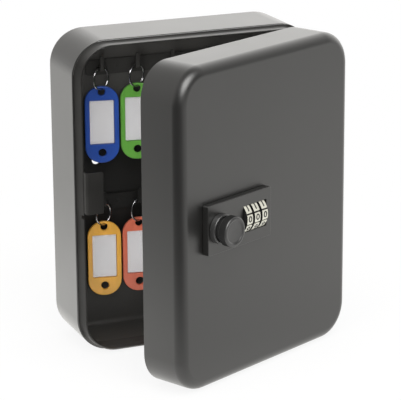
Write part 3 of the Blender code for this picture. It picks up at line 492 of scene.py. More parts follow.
class Look:
    """The node tree of a material or a world, and its Principled shader."""

    def __init__(self, name, tree=None):
        if tree is None:
            self.material = bpy.data.materials.new(name)
            self.material.use_nodes = True
            tree = self.material.node_tree
        self.tree = tree
        self.shader = tree.nodes.get("Principled BSDF")

    def node(self, kind, inputs=None, output=0, **settings):
        """Adds one node, makes its settings, feeds its sockets and returns an output."""
        made = self.tree.nodes.new(kind)
        for key, value in settings.items():
            setattr(made, key, value)
        for key, value in (inputs or {}).items():
            self.feed(made.inputs[key], value)
        return Value(self, made.outputs[output])

    def feed(self, socket, value):
        """Links a value to a socket, or sets it there."""
        if isinstance(value, Value):
            self.tree.links.new(value.socket, socket)
        else:
            socket.default_value = value

    def set(self, **values):
        """Sets the shader's sockets by their names, with _ for a space."""
        for key, value in values.items():
            self.feed(self.shader.inputs[key.replace("_", " ")], value)

    def coordinates(self, scale=(1.0, 1.0, 1.0)):
        """Object coordinates in metres, stretched by a scale."""
        where = self.node("ShaderNodeTexCoord", output="Object")
        return self.node("ShaderNodeMapping", {"Vector": where, "Scale": scale})

    def height(self):
        """The height of a place on the surface."""
        return self.node("ShaderNodeSeparateXYZ", {"Vector": self.coordinates()}, "Z")

    def noise(self, size, detail=2.0, roughness=0.5, stretch=(1.0, 1.0, 1.0)):
        """Soft noise whose features are about a size wide, in metres."""
        return self.node("ShaderNodeTexNoise", {
            "Vector": self.coordinates(stretch), "Scale": 1/size, "Detail": detail,
            "Roughness": roughness})

    def specks(self, size, share):
        """Round specks in cells of a size; a share of each cell's width is filled."""
        distance = self.node("ShaderNodeTexVoronoi", {
            "Vector": self.coordinates(), "Scale": 1/size, "Randomness": 1.0}, "Distance")
        return 1 - distance.between(share*0.6, share)

    def measure(self, operation, first, second):
        """A number from two vectors, such as their distance."""
        return self.node("ShaderNodeVectorMath", {0: first, 1: second}, "Value",
                         operation=operation)

    def mixed(self, share, first, second):
        """A colour between two, each a tuple or a link, by the node's sockets for colours."""
        first, second = [way if isinstance(way, Value) else rgba(way) for way in (first, second)]
        return self.node("ShaderNodeMix", {0: share, 6: first, 7: second}, 2, data_type="RGBA")

    def cloudy(self, pattern, colour, spread):
        """A colour that a pattern makes darker and lighter by a share."""
        return self.mixed(pattern.between(0.3, 0.7), shaded(colour, 1 - spread),
                          shaded(colour, 1 + spread))

    def bump(self, height, distance, strength=1.0):
        """A normal from a height of 0 to 1 that stands for a distance in metres."""
        return self.node("ShaderNodeBump", {"Height": height, "Distance": distance,
                                            "Strength": strength})

    def ray(self, kind):
        """1 for one kind of ray, such as Is Glossy Ray, and 0 for others."""
        return self.node("ShaderNodeLightPath", output=kind)

    def seen_by_eye(self):
        """1 for what the camera sees, also through clear things."""
        camera = self.ray("Is Camera Ray")
        return camera.maths("MAXIMUM", camera, self.ray("Is Transmission Ray"))

    def blend(self, share, first, second):
        """A shader between two."""
        return self.node("ShaderNodeMixShader", {"Fac": share, 1: first, 2: second})


def rgba(colour):
    """A colour with full alpha."""
    return (*colour[:3], 1.0)


def grey(level):
    """A neutral colour."""
    return (level, level, level)


def shaded(colour, factor):
    """A colour made lighter or darker."""
    return tuple(min(channel*factor, 1.0) for channel in colour[:3])


def powder_coat(look, colour):
    """Satin powder coat: fine orange peel, slow tone changes and a few dust specks."""
    roughness = 0.42
    slow = look.noise(0.035, 3.0)
    fine = look.noise(0.0009)
    peel = look.noise(0.0016, 3.0, 0.6)
    dust = look.specks(0.004, 0.045)
    tone = look.cloudy(slow, colour, 0.1)
    grain = look.mixed(fine.between(0.35, 0.65)*0.35, tone, shaded(colour, 1.25))
    look.set(Base_Color=look.mixed(dust*0.3, grain, shaded(colour, 3.0)),
             Roughness=roughness + slow*0.06 - 0.03 + fine*0.05,
             Normal=look.bump(peel + fine*0.3, 0.00003, 0.35),
             Coat_Weight=1.0 - slow*0.1, Coat_Roughness=roughness*0.8, IOR=1.5)


def thin_paint(look, slow, fine, colour, specular, coat):
    """Thin paint of a colour, whose sheen and grain come from slow and fine noise."""
    look.set(Base_Color=colour, Roughness=0.42 + slow*0.06 + fine*0.05,
             Specular_IOR_Level=specular, Coat_Weight=coat, Coat_Roughness=0.35,
             Normal=look.bump(fine + slow*0.3, 0.00002, 0.3))


def fitting_coat(look, colour):
    """Thin matt paint on the fittings, glossier at the very top, with painted light that makes it
    paler at the foot.
    """
    top, foot = (0.085, 0.0965), (-0.085, -0.097)
    slow = look.noise(0.02, 3.0)
    fine = look.noise(0.0009)
    height = look.height()
    tone = look.cloudy(slow, colour, 0.15)
    # Painted light: the foot of the frame is made paler.
    tone = look.mixed(height.between(*foot), tone, shaded(colour, 3.2))
    thin_paint(look, slow, fine, tone, 0.1, height.between(*top))


def inner_coat(look, middle, ends):
    """Thin satin paint inside the body, with painted light that makes it paler toward the top and
    less so toward the foot.
    """
    slow = look.noise(0.03, 3.0)
    fine = look.noise(0.0009)
    height = look.height()
    # Painted light: toward the top, and less toward the foot, the colour turns to a lit copy of the
    # paint; half way up it stays the darker, shaded copy.
    away = height.maths("ABSOLUTE", height + 0.01) + slow*0.02 - 0.01
    share = away.between(0.02, 0.1)*(0.65 + height.between(-0.05, 0.0)*0.35)
    tone = look.mixed(share, middle, ends)
    grain = look.mixed(share, shaded(middle, 1.6), shaded(ends, 1.2))
    tone = look.mixed(fine.between(0.35, 0.65)*0.4, tone, grain)
    thin_paint(look, slow, fine, tone, 0.3, 0.12)


def moulded_plastic(look, colour, roughness, coat=0.0, specular=0.5):
    """Fine-grained moulded plastic."""
    grain = look.noise(0.00025)
    slow = look.noise(0.006)
    look.set(Base_Color=look.cloudy(slow, colour, 0.12), Roughness=roughness + grain*0.1 - 0.05,
             Coat_Weight=coat, Coat_Roughness=roughness, Specular_IOR_Level=specular,
             Normal=look.bump(grain, 0.000015, 0.5))


def wheel_plastic(look, colour):
    """Pale plastic with a little grime."""
    slow = look.noise(0.002, 3.0)
    fine = look.noise(0.0003)
    look.set(Base_Color=look.mixed(slow.between(0.55, 0.75)*0.5, colour, shaded(colour, 0.7)),
             Roughness=0.26 + fine*0.12, Normal=look.bump(fine, 0.00001, 0.4))


def printed_ink(look, colour):
    """Ink with a slightly uneven sheen."""
    fine = look.noise(0.0002)
    look.set(Base_Color=look.mixed(fine.between(0.4, 0.7)*0.5, colour, shaded(colour, 1.8)),
             Roughness=0.35 + fine*0.2)


def zinc_plate(look, colour):
    """Zinc-plated steel: cloudy tone and fine rolling marks."""
    cloud = look.noise(0.004, 3.0)
    marks = look.noise(0.0004, stretch=(1.0, 1.0, 0.08))
    warm = (colour[0], colour[1]*0.97, colour[2]*0.86)
    look.set(Base_Color=look.mixed(cloud.between(0.35, 0.7), colour, warm), Metallic=1.0,
             Roughness=0.3 + marks*0.12 + cloud*0.05 - 0.06,
             Normal=look.bump(marks, 0.000008, 0.5))


def bright_wire(look, colour):
    """Nickel-plated spring wire with hairline marks."""
    marks = look.noise(0.0003, roughness=0.6, stretch=(1.0, 0.2, 1.0))
    look.set(Base_Color=look.mixed(marks.between(0.4, 0.7)*0.4, colour, shaded(colour, 0.75)),
             Metallic=1.0, Roughness=0.12 + marks*0.12, Normal=look.bump(marks, 0.000005, 0.4))


def tag_plastic(look, colour):
    """Glossy coloured plastic with flow marks and faint scuffs."""
    flow = look.noise(0.009, stretch=(1.0, 1.0, 0.4))
    scuff = look.noise(0.0007, 4.0, 0.7)
    pale = tuple(0.75*channel + 0.25 for channel in colour[:3])
    tone = look.cloudy(flow, colour, 0.08)
    look.set(Base_Color=look.mixed(scuff.between(0.62, 0.8)*0.25, tone, pale),
             Roughness=0.22 + scuff*0.14, Specular_IOR_Level=0.35,
             Normal=look.bump(scuff, 0.00001, 0.3))


def label_paper(look, colour):
    """White paper with faint fibres."""
    fibre = look.noise(0.0006, 4.0, 0.7, (0.5, 1.0, 1.0))
    look.set(Base_Color=look.mixed(fibre.between(0.3, 0.8), colour, shaded(colour, 0.93)),
             Roughness=0.8 + fibre*0.1, Normal=look.bump(fibre, 0.00002, 0.3))


def clear_sheet(look, colour):
    """Thin clear plastic with faint scratches."""
    marks = look.noise(0.0008, 4.0, 0.7)
    look.set(Base_Color=rgba(colour), Roughness=0.08 + marks*0.12,
             Alpha=0.12 + marks.between(0.6, 0.8)*0.06)


LOOKS = {}


def finishes(colours):
    """Each finish by its name: its maker and what the maker takes."""
    dark_knob = shaded(colours.knob, 0.6)
    table = {
        "outer_paint": (powder_coat, colours.paint),
        # The inner paint fades by height from a shaded copy to a lit copy, which is painted light.
        "inner_paint": (inner_coat, colours.inner_paint, colours.inner_ends),
        # On the rails the lit copy is halved: painted shade that keeps the rails and their hooks
        # dark.
        "rail_paint": (inner_coat, colours.inner_paint, shaded(colours.inner_ends, 0.5)),
        "fitting_paint": (fitting_coat, colours.fitting_paint),
        "knob_plastic": (moulded_plastic, colours.knob, 0.36, 0.6),
        "knob_grip": (moulded_plastic, dark_knob, 0.6, 0.0, 0.2),
        "wheel_core": (moulded_plastic, dark_knob, 0.5, 0.0, 0.3),
        "case_plastic": (moulded_plastic, colours.knob, 0.45),
        "wheel_plastic": (wheel_plastic, colours.wheel),
        "digit_ink": (printed_ink, colours.digit),
        "zinc": (zinc_plate, colours.zinc),
        "ring_wire": (bright_wire, colours.ring),
        "paper": (label_paper, colours.paper),
        "clear": (clear_sheet, grey(0.95)),
    }
    for name in TAG_COLOURS:
        table["tag_plastic_" + name] = (tag_plastic, getattr(colours, "tag_" + name))
    return table


def look_of(kind):
    """A finish by name, made once."""
    if kind not in LOOKS:
        maker, *settings = finishes(bpy.context.scene.cabinet_colours)[kind]
        look = Look(kind)
        maker(look, *settings)
        LOOKS[kind] = look.material
    return LOOKS[kind]


# What a user may change

def length(name, description, default):
    """A length in metres."""
    return FloatProperty(name=name, description=description, default=default, min=0.0,
                         unit="LENGTH", precision=5)


def colour(name, description, *default):
    """A linear colour."""
    return FloatVectorProperty(name=name, description=description, default=default, size=3,
                               min=0.0, max=1.0, subtype="COLOR")


class CabinetSizes(bpy.types.PropertyGroup):
    """Sizes of the sheet, the edges and the small forms."""

    sheet: length("Sheet", "Thickness of the steel sheet", 0.001)
    corner: length("Corner", "Outer corner radius of the body", 0.022)
    back_fillet: length("Back fillet", "Radius round the body's back", 0.004)
    door_fillet: length("Door fillet", "Radius round the door's face", 0.0065)
    edge: length("Sheet edge", "Rounding of a cut sheet edge", 0.0003)
    plate_edge: length("Plate edge", "Rounding of the lock plate's front", 0.0004)
    digit_height: length("Digit height", "Height of a number on its wheel", 0.0038)
    tag_edge: length("Tag edge", "Rounding of a tag's outline", 0.0007)


class CabinetColours(bpy.types.PropertyGroup):
    """Colours of the finishes, linear."""

    paint: colour("Paint", "Powder coat on the outside", 0.0070, 0.0068, 0.0063)
    # Inner paint and its lit copy: painted light makes the inside paler toward its top.
    inner_paint: colour("Inner paint", "Paint inside the body, half way up", 0.0130, 0.0126, 0.0118)
    inner_ends: colour("Inner paint ends", "Paint inside the body, at its top", 0.115, 0.112, 0.106)
    fitting_paint: colour("Fitting paint", "Paint on the frame and the keeper",
                          0.020, 0.0195, 0.0185)
    knob: colour("Knob", "Plastic of the knob", 0.022, 0.022, 0.022)
    wheel: colour("Wheels", "Plastic of the number wheels", 0.50, 0.495, 0.425)
    digit: colour("Digits", "Ink of the numbers", 0.012, 0.012, 0.012)
    zinc: colour("Zinc", "Zinc plate", 0.55, 0.56, 0.57)
    ring: colour("Rings", "Plated wire of the key rings", 0.78, 0.78, 0.80)
    paper: colour("Paper", "Paper of the labels", 0.84, 0.83, 0.85)
    tag_blue: colour("Blue tag", "Plastic of the blue tag", 0.025, 0.082, 0.39)
    tag_green: colour("Green tag", "Plastic of the green tag", 0.14, 0.42, 0.064)
    tag_yellow: colour("Yellow tag", "Plastic of the yellow tag", 0.84, 0.43, 0.065)
    tag_red: colour("Red tag", "Plastic of the red tag", 0.67, 0.16, 0.092)
    backdrop: colour("Backdrop", "What the camera sees behind the cabinet", 1.0, 1.0, 1.0)


# Body

class CABINET_OT_body(bpy.types.Operator):
    """Models the body pan with its two screw holes"""

    bl_idname = "cabinet.body"
    bl_label = "Body pan"

    def execute(self, context):
        sizes = context.scene.cabinet_sizes
        sheet = sizes.sheet
        low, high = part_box("body_pan")
        pan = drawn_pan("body_shell", low, high, 1, sizes.corner, sizes.back_fillet, sheet)
        radius, aside, rise, reach = 0.0027, 0.05, 0.012, 0.004
        carve(pan, [add_rod("screw_hole", radius, (x, -reach, rise), (x, reach, rise))
                    for x in (-aside, aside)])

        def within_walls(point):
            return all(low[i] + sheet*0.5 < point[i] < high[i] - sheet*0.5 for i in (0, 2))

        at_mouth = edges_at(low.y)
        round_edges(pan, lambda edge: at_mouth(edge) and not all(
            within_walls(vert.co) for vert in edge.verts), sheet*0.8, TIP_SEGMENTS)
        soften(pan, sizes.edge)
        finish_piece(pan, "outer_paint", "case", ("body_pan",))
        centre = (low + high)/2
        paint_faces(pan, "inner_paint", lambda face: (
            face.normal.dot(centre - face.center) > 0 and within_walls(face.center)
            and face.center.y < high.y - sheet*0.5))
        return {"FINISHED"}


class CABINET_OT_inner_frame(bpy.types.Operator):
    """Models the joggled frame in the body's mouth"""

    bl_idname = "cabinet.inner_frame"
    bl_label = "Inner frame"

    def execute(self, context):
        sizes = context.scene.cabinet_sizes
        low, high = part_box("inner_collar")
        mouth_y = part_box("body_pan")[0].y
        inset, swell, step, lean = 0.0013, 0.00028, 0.0005, 0.0010
        slope_start, slope_end, flat = mouth_y + 0.0003, mouth_y - 0.0017, 0.0005

        def move_walls(test, sideways, upright):
            pick("VERT", lambda vert: test(vert.co.y))
            resize((1 + sideways/high.x, 1, 1 + upright/high.z))

        tube = rounded_box("inner_frame", low, high, sizes.corner - inset, CORNER_SEGMENTS)
        remove_faces(lambda face: abs(face.normal.y) > NEARLY)
        for y in (slope_end, slope_start, slope_start + flat):
            cut_across(y)
        move_walls(lambda y: abs(y - slope_start) < NEAR, swell, swell)
        move_walls(lambda y: y < slope_end + NEAR, -step, -step)
        move_walls(lambda y: y < low.y + NEAR, -lean, 0)
        thicken_skin(tube, (low + high)/2, sizes.sheet)
        left, deep, bottom, top = low.x + step, 0.003, -0.0098, -0.0078
        carve(tube, [add_box("notch", (left - OVERCUT, low.y - OVERCUT, bottom),
                             (left + deep, low.y + deep, top))])
        soften(tube, sizes.edge)
        finish_piece(tube, "fitting_paint", "case", ("inner_collar",))
        return {"FINISHED"}


class CABINET_OT_keeper(bpy.types.Operator):
    """Models the bent angle that the cam turns behind"""

    bl_idname = "cabinet.keeper"
    bl_label = "Keeper"

    def execute(self, context):
        sizes = context.scene.cabinet_sizes
        low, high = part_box("keeper")
        half = sizes.sheet/2
        outer_bend, tip_round = 0.0015, 0.0012
        bend = outer_bend - half
        corner = (low.x + half + bend, low.y + half + bend)
        path = [(low.x + half, high.y)] + arc_points(corner, bend, 180, 270, 6)
        path += [(high.x, low.y + half)]
        angle = bent_strip("keeper_angle", [(x, y, low.z) for x, y in path],
                           (0, 0, high.z - low.z), sizes.sheet, 0, tip_round)
        soften(angle, sizes.edge)
        finish_piece(angle, "fitting_paint", "case", ("keeper",))
        return {"FINISHED"}


class CABINET_OT_hook_rails(bpy.types.Operator):
    """Models the two strips with their bent hooks and weld dimples"""

    bl_idname = "cabinet.hook_rails"
    bl_label = "Hook rails"

    def execute(self, context):
        for row in ("upper", "lower"):
            self.make_rail("hook_rail_" + row)
        return {"FINISHED"}

    def make_rail(self, node):
        low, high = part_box(node)
        sheet, half, corner, drop, pitch = 0.001, 0.005, 0.002, 0.009, 0.024
        dimple_radius, dimple_depth = 0.004, 0.0003
        front_y = high.y - sheet
        middle_z = high.z - drop
        strip = rounded_box(node + "_strip", (low.x, front_y, middle_z - half),
                            (high.x, high.y, middle_z + half), corner, 5)
        hooks = [self.make_hook(low.y, front_y, middle_z, high.z)]
        for column in range(1, 5):
            hooks.append(put(copy_of(hooks[0], "hook"), Matrix.Translation((pitch*column, 0, 0))))
        welds = []
        for x in (-1.5*pitch, -0.5*pitch, 0.5*pitch, 1.5*pitch):
            put_down()
            bpy.ops.mesh.primitive_uv_sphere_add(
                segments=24, ring_count=12, radius=dimple_radius,
                location=(x, front_y - dimple_radius + dimple_depth, middle_z))
            welds.append(settle("weld_dimple"))
        carve(strip, welds)
        carve(strip, [join(hooks, "hooks")], "UNION")
        soften_slightly(strip, 0.00018)
        finish_piece(strip, "rail_paint", "case", (node,))

    def make_hook(self, tip_y, front_y, bottom_z, tip_z):
        """The leftmost hook: a strap bent up at its end."""
        left, width, sheet, bend, root, tip_round = -0.0492, 0.0024, 0.0012, 0.0012, 0.0005, 0.0009
        y, z = tip_y + sheet/2, bottom_z - sheet/2
        path = [(front_y + root, z)] + arc_points((y + bend, z + bend), bend, 270, 180, 6)
        path += [(y, tip_z)]
        return bent_strip("hook", [(left, u, v) for u, v in path], (width, 0, 0), sheet,
                          2, tip_round)


# Door

def lock_holes(front, back, screw_front):
    """Cutters for the holes of the spindle and of both case screws, with the door shut."""
    spindle_radius, screw_radius = 0.0034, 0.0017
    knob = middle_in(DOOR_OPEN, "knob")
    holes = [add_rod("spindle_hole", spindle_radius, (knob.x, front, knob.z),
                     (knob.x, back, knob.z))]
    for node in CASE_SCREWS:
        screw = middle_in(DOOR_OPEN, node)
        holes.append(add_rod("screw_hole", screw_radius, (screw.x, screw_front, screw.z),
                             (screw.x, back, screw.z)))
    return holes


class CABINET_OT_door(bpy.types.Operator):
    """Models the door pan with its openings for the lock"""

    bl_idname = "cabinet.door"
    bl_label = "Door pan"

    def execute(self, context):
        sizes = context.scene.cabinet_sizes
        margin, room, cut_depth = 0.0003, 0.0002, 0.003
        low, high = box_in(DOOR_OPEN, "door_pan")
        pan = drawn_pan("door_shell", low, high, -1, sizes.corner - margin, sizes.door_fillet,
                        sizes.sheet)
        front, back = low.y - OVERCUT, low.y + cut_depth
        wheels_low, wheels_high = box_in(DOOR_OPEN, *WHEELS)
        slot = add_box("wheel_slot", (wheels_low.x - WINDOW_LEFT, front, wheels_low.z - room),
                       (wheels_high.x + WINDOW_RIGHT, back, wheels_high.z + room))
        carve(pan, [slot] + lock_holes(front, back, front))
        soften(pan, sizes.edge)
        put(pan, DOOR_OPEN)
        finish_piece(pan, "outer_paint", "door", ("door_pan",))
        return {"FINISHED"}


class CABINET_OT_hinges(bpy.types.Operator):
    """Models the rolled leaves and the pins of both hinges"""

    bl_idname = "cabinet.hinges"
    bl_label = "Hinges"

    def execute(self, context):
        for where in ("upper", "lower"):
            base = "hinge_" + where
            self.make_leaf(base + "_body_leaf", STILL, "case", (1, 2, 3))
            self.make_leaf(base + "_door_leaf", DOOR_OPEN, "door", (0, 1, 3, 4))
            self.make_pin(base + "_pin")
        return {"FINISHED"}

    def make_leaf(self, node, place, body, missing):
        """A strip rolled round the pin, whose barrel has three knuckles and two gaps.

        Counted upwards, the missing ones of these five stretches are cut away.
        """
        low, high = box_in(place, node)
        toward = 1 if high.y - HINGE.y > HINGE.y - low.y else -1
        radius, straight, gap, height, sheet = 0.0025, 0.002, 0.0003, 0.032, 0.001
        cut_reach, roll_reach, end_round = 0.0034, 0.0019, 0.002
        end_y = high.y if toward > 0 else low.y
        path = [(HINGE.x - radius, end_y), (HINGE.x - radius, HINGE.y + toward*straight)]
        path += [(x, HINGE.y + toward*(y - HINGE.y))
                 for x, y in arc_points((HINGE.x, HINGE.y), radius, 180, 475, 28)]
        leaf = add_chain(node + "_rolled", [(x, y, low.z) for x, y in path])
        bottom = (low.z + high.z)/2 - height/2
        knuckle = (height - 2*gap)/3
        pick_all()
        bpy.ops.transform.translate(value=(0, 0, bottom - low.z))
        rises = [bottom]
        for stretch in (knuckle, gap, knuckle, gap, knuckle):
            draw_out((0, 0, stretch))
            rises.append(rises[-1] + stretch)

        def is_missing(face):
            centre = face.calc_center_median()
            stretch = max(i for i in range(5) if centre.z > rises[i])
            off = toward*(centre.y - HINGE.y)
            return stretch in missing and off < cut_reach and (
                centre.x > HINGE.x - radius + NEAR or off < roll_reach)

        remove_faces(is_missing)
        tidy_mesh()
        thicken(leaf, sheet, 0.0)
        along, at_end = edges_along(LEFT_RIGHT), edges_at(end_y, NEAR)
        round_edges(leaf, lambda edge: along(edge) and at_end(edge), end_round, 5)
        soften_slightly(leaf, 0.0002)
        put(leaf, place)
        finish_piece(leaf, "outer_paint", body, (node,))

    def make_pin(self, node):
        """A headed pin, domed at both ends."""
        low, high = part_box(node)
        radius, head_radius, thick = 0.00185, 0.0026, 0.0008
        head = high.z - thick
        profile = [(0, low.z + 0.0001), (radius*0.7, low.z + 0.0002), (radius, low.z + 0.0006),
                   (radius, head), (head_radius, head), (head_radius, head + 0.0003),
                   (head_radius - 0.0005, head + 0.0007), (0, head + thick)]
        pin = add_turned(node + "_headed", profile, (HINGE.x, HINGE.y, 0), UPRIGHT, LEFT_RIGHT, 40)
        finish_piece(pin, "zinc", "case", (node,), 50)


# Lock

class CABINET_OT_lock_plate(bpy.types.Operator):
    """Models the raised plate with its wheel window"""

    bl_idname = "cabinet.lock_plate"
    bl_label = "Lock plate"

    def execute(self, context):
        sizes = context.scene.cabinet_sizes
        corner, window_radius, head_room = 0.0015, 0.0115, 0.0003
        low, high = box_in(DOOR_OPEN, "lock_plate")
        plate = rounded_box("lock_plate_raised", low, high, corner, 6)
        bevel_edges(edges_at(low.y), sizes.plate_edge, 5)
        wheels_low, wheels_high = box_in(DOOR_OPEN, *WHEELS)
        centre = (wheels_low + wheels_high)/2
        window = add_rod("wheel_window", window_radius,
                         (wheels_low.x - WINDOW_LEFT, centre.y, centre.z),
                         (wheels_high.x + WINDOW_RIGHT, centre.y, centre.z), 96)
        screw_front = box_in(DOOR_OPEN, *CASE_SCREWS)[0].y - head_room
        carve(plate, [window] + lock_holes(low.y - OVERCUT, high.y + OVERCUT, screw_front))
        soften_slightly(plate, 0.00015)
        put(plate, DOOR_OPEN)
        finish_piece(plate, "outer_paint", "door", ("lock_plate",))
        return {"FINISHED"}


class CABINET_OT_knob(bpy.types.Operator):
    """Models the stepped knob and the ring round its neck"""

    bl_idname = "cabinet.knob"
    bl_label = "Knob"

    def execute(self, context):
        self.make_knob()
        self.make_ring()
        return {"FINISHED"}

    def turned(self, node, profile, body, closed=False):
        """A piece turned about the knob's axis."""
        middle = middle_in(DOOR_OPEN, "knob")
        piece = add_turned(node + "_turned", profile, (middle.x, 0, middle.z), FRONT_BACK,
                           LEFT_RIGHT, 72, closed)
        put(piece, DOOR_OPEN)
        return finish_piece(piece, "knob_plastic", body, (node,), 30)

    def make_knob(self):
        """A cap with a sunk middle and a round rim, on a neck with a bore for the spindle."""
        low, high = box_in(DOOR_OPEN, "knob")
        cap, front, back = (high.x - low.x)/2, low.y, high.y
        under, rim, sunk, bore, bore_depth = front + 0.0055, 0.0012, 0.0007, 0.0033, 0.0083
        profile = [(0, front + sunk), (cap - 0.0030, front + sunk), (cap - 0.0026, front + 0.0005),
                   (cap - 0.0021, front + 0.0001), (cap - 0.0017, front)]
        profile += [(cap - rim + rim*sin(a), front + rim - rim*cos(a))
                    for a in map(radians, (0, 22, 45, 68, 90))]
        profile += [(cap, under - 0.0005), (cap - 0.0002, under - 0.0001), (cap - 0.0006, under),
                    (NECK_RADIUS + 0.0003, under), (NECK_RADIUS, under + 0.0003),
                    (NECK_RADIUS, back), (bore + 0.0003, back), (bore, back - 0.0003),
                    (bore, back - bore_depth), (0, back - bore_depth)]
        knob = self.turned("knob", profile, "knob")
        ahead, steep = DOOR_OPEN.to_3x3() @ Vector(FRONT_BACK), 0.2
        paint_faces(knob, "knob_grip", lambda face: abs(face.normal.dot(ahead)) < steep)

    def make_ring(self):
        """A ring with a round outer edge, clear of the neck."""
        low, high = box_in(DOOR_OPEN, "knob_ring")
        outer, inner = (high.x - low.x)/2, NECK_RADIUS + 0.0004
        soft, edge = 0.0009, 0.0002
        profile = [(inner, high.y), (outer, high.y), (outer, low.y + soft)]
        profile += arc_points((outer - soft, low.y + soft), soft, -18, -90, 4)
        profile += [(inner + edge, low.y), (inner, low.y + edge)]
        self.turned("knob_ring", profile, "door", True)


class CABINET_OT_number_wheels(bpy.types.Operator):
    """Models one number wheel with its ten printed digits, and copies it"""

    bl_idname = "cabinet.number_wheels"
    bl_label = "Number wheels"

    def execute(self, context):
        wheel = self.make_wheel()
        digits = self.make_digits(wheel, context.scene.cabinet_sizes.digit_height)
        axis = DOOR_OPEN.to_3x3() @ Vector(LEFT_RIGHT)
        groove_radius, side_on = 0.0107, 0.8
        for node in WHEELS:
            place = DOOR_OPEN @ Matrix.Translation(middle_in(DOOR_OPEN, node))
            hub = place.to_translation()

            def off_rim(face):
                """Tells the sides and the grooves from the printed rim."""
                spoke = face.center - hub
                spoke -= axis*spoke.dot(axis)
                return spoke.length <= groove_radius or abs(face.normal.dot(axis)) >= side_on

            one = put(copy_of(wheel, node + "_grooved"), place)
            finish_piece(one, "wheel_plastic", node, (node,), 30)
            paint_faces(one, "wheel_core", off_rim)
            print_on = put(copy_of(digits, node + "_digits"), place)
            finish_piece(print_on, "digit_ink", node)
        throw_away(wheel, digits)
        return {"FINISHED"}

    def make_wheel(self):
        """A ring about X at the origin with a groove between each two digits."""
        radius, bore, half, soft = 0.011, 0.005, 0.0026, 0.0004
        groove_share, groove_depth, groove_wall = 0.06, 0.0005, 0.0001
        side = [(bore, half), (radius - soft, half),
                (radius - soft*0.3, half - soft*0.3), (radius, half - soft)]
        profile = [(reach, -x) for reach, x in side] + side[::-1]
        wheel = add_turned("wheel", profile, (0, 0, 0), LEFT_RIGHT, (0, -1, 0), 120, True)
        open_mesh(wheel)

        def on_groove(face):
            spot = face.calc_center_median()
            turn = atan2(spot.z, -spot.y)/(2*pi/DIGITS) - 0.5
            return spot.yz.length > radius - soft and abs(turn - round(turn)) < groove_share

        pick("FACE", on_groove)
        bpy.ops.mesh.inset(thickness=groove_wall, depth=0.0, use_boundary=True)
        scale = 1 - groove_depth/radius
        resize((1, scale, scale))
        tidy_mesh()
        return wheel

    def make_digits(self, wheel, height):
        """Digits laid on the wheel's rim, 0 to the front and the higher ones above it."""
        line, widen, bolder, start_radius, lift = 1.38, 1.25, 0.00016, 0.0118, 0.00003
        made = []
        for digit in range(DIGITS):
            put_down()
            bpy.ops.object.text_add(location=(0, 0, 0))
            text = bpy.context.object
            text.data.body = str(digit)
            text.data.align_x = "CENTER"
            text.data.align_y = "CENTER"
            text.data.size = height*line
            text.data.offset = bolder
            text.data.resolution_u = 6
            bpy.ops.object.convert(target="MESH")
            text = bpy.context.object
            open_mesh(text)
            pick_all()
            resize((widen, 1, 1))
            for step in range(-5, 6):
                cut_across(height*step/10)
            put_down()
            take(text)
            text.matrix_world = Matrix.Rotation(radians(90 - 360/DIGITS*digit), 4, "X") @ (
                Matrix.Translation((0, 0, start_radius)))
            apply(text, "SHRINKWRAP", target=wheel, wrap_method="PROJECT", use_project_z=True,
                  use_negative_direction=True, use_positive_direction=False, offset=lift)
            bpy.ops.object.transform_apply()
            made.append(text)
        return join(made, "digits")


class CABINET_OT_lock_works(bpy.types.Operator):
    """Rounds and finishes the lock's inner pieces"""

    bl_idname = "cabinet.lock_works"
    bl_label = "Lock works"

    def execute(self, context):
        refined("lock_case", "lock_case_moulded", 0.0003, "case_plastic")
        for node, made, width in (
                ("case_cover", "stamped", 0.00025), ("cam", "stamped", 0.0002),
                ("cam_screw", "slotted", 0.0002), ("case_screw_1", "slotted", 0.00015),
                ("case_screw_2", "slotted", 0.00015), ("reset_pin", "turned", 0.0001),
                ("locking_bar", "stamped", 0.0001)):
            refined(node, node + "_" + made, width, "zinc")
        for node in ("knob_spindle", "drive_disc", "wheel_axle", "detent_spring",
                     "code_sleeve_1", "code_sleeve_2", "code_sleeve_3"):
            dress(frame["nodes"][node], "zinc")
        return {"FINISHED"}


# Keys' rings and tags

class CABINET_OT_key_rings(bpy.types.Operator):
    """Models one split ring of two coils and copies it"""

    bl_idname = "cabinet.key_rings"
    bl_label = "Key rings"

    def execute(self, context):
        ring = self.make_ring()
        for colour in TAG_COLOURS:
            node = "key_ring_" + colour
            one = put(copy_of(ring, node + "_split"), ring_place(colour))
            finish_piece(one, "ring_wire", node, (node,), 50)
        throw_away(ring)
        return {"FINISHED"}

    def make_ring(self):
        """Two flat coils about Y, joined by a short slope near the ring's side."""
        radius, rise, wide, lift = 0.007, 0.00050, 0.00025, 0.00026
        coil_steps, slope_steps, slope = 88, 8, radians(16)
        centre = Vector((0, 0, -radius))
        start = centre + Vector((radius, -lift, 0))

        def sweep(steps, angle):
            bpy.ops.mesh.spin(steps=steps, angle=angle, center=centre, axis=FRONT_BACK)

        put_down()
        bpy.ops.mesh.primitive_circle_add(vertices=16, radius=rise, fill_type="NGON",
                                          location=start)
        ring = settle("ring")
        open_mesh(ring)
        pick_all()
        resize((1, wide/rise, 1), start)
        sweep(coil_steps, 2*pi - slope)
        for step in range(slope_steps):
            sweep(1, slope/slope_steps)
            share = 0.5*(cos(pi*step/slope_steps) - cos(pi*(step + 1)/slope_steps))
            bpy.ops.transform.translate(value=(0, 2*lift*share, 0))
        sweep(coil_steps, 2*pi - slope)
        pick_all()
        bpy.ops.transform.rotate(value=radians(40), orient_axis="Y", center_override=centre)
        tidy_mesh()
        return ring


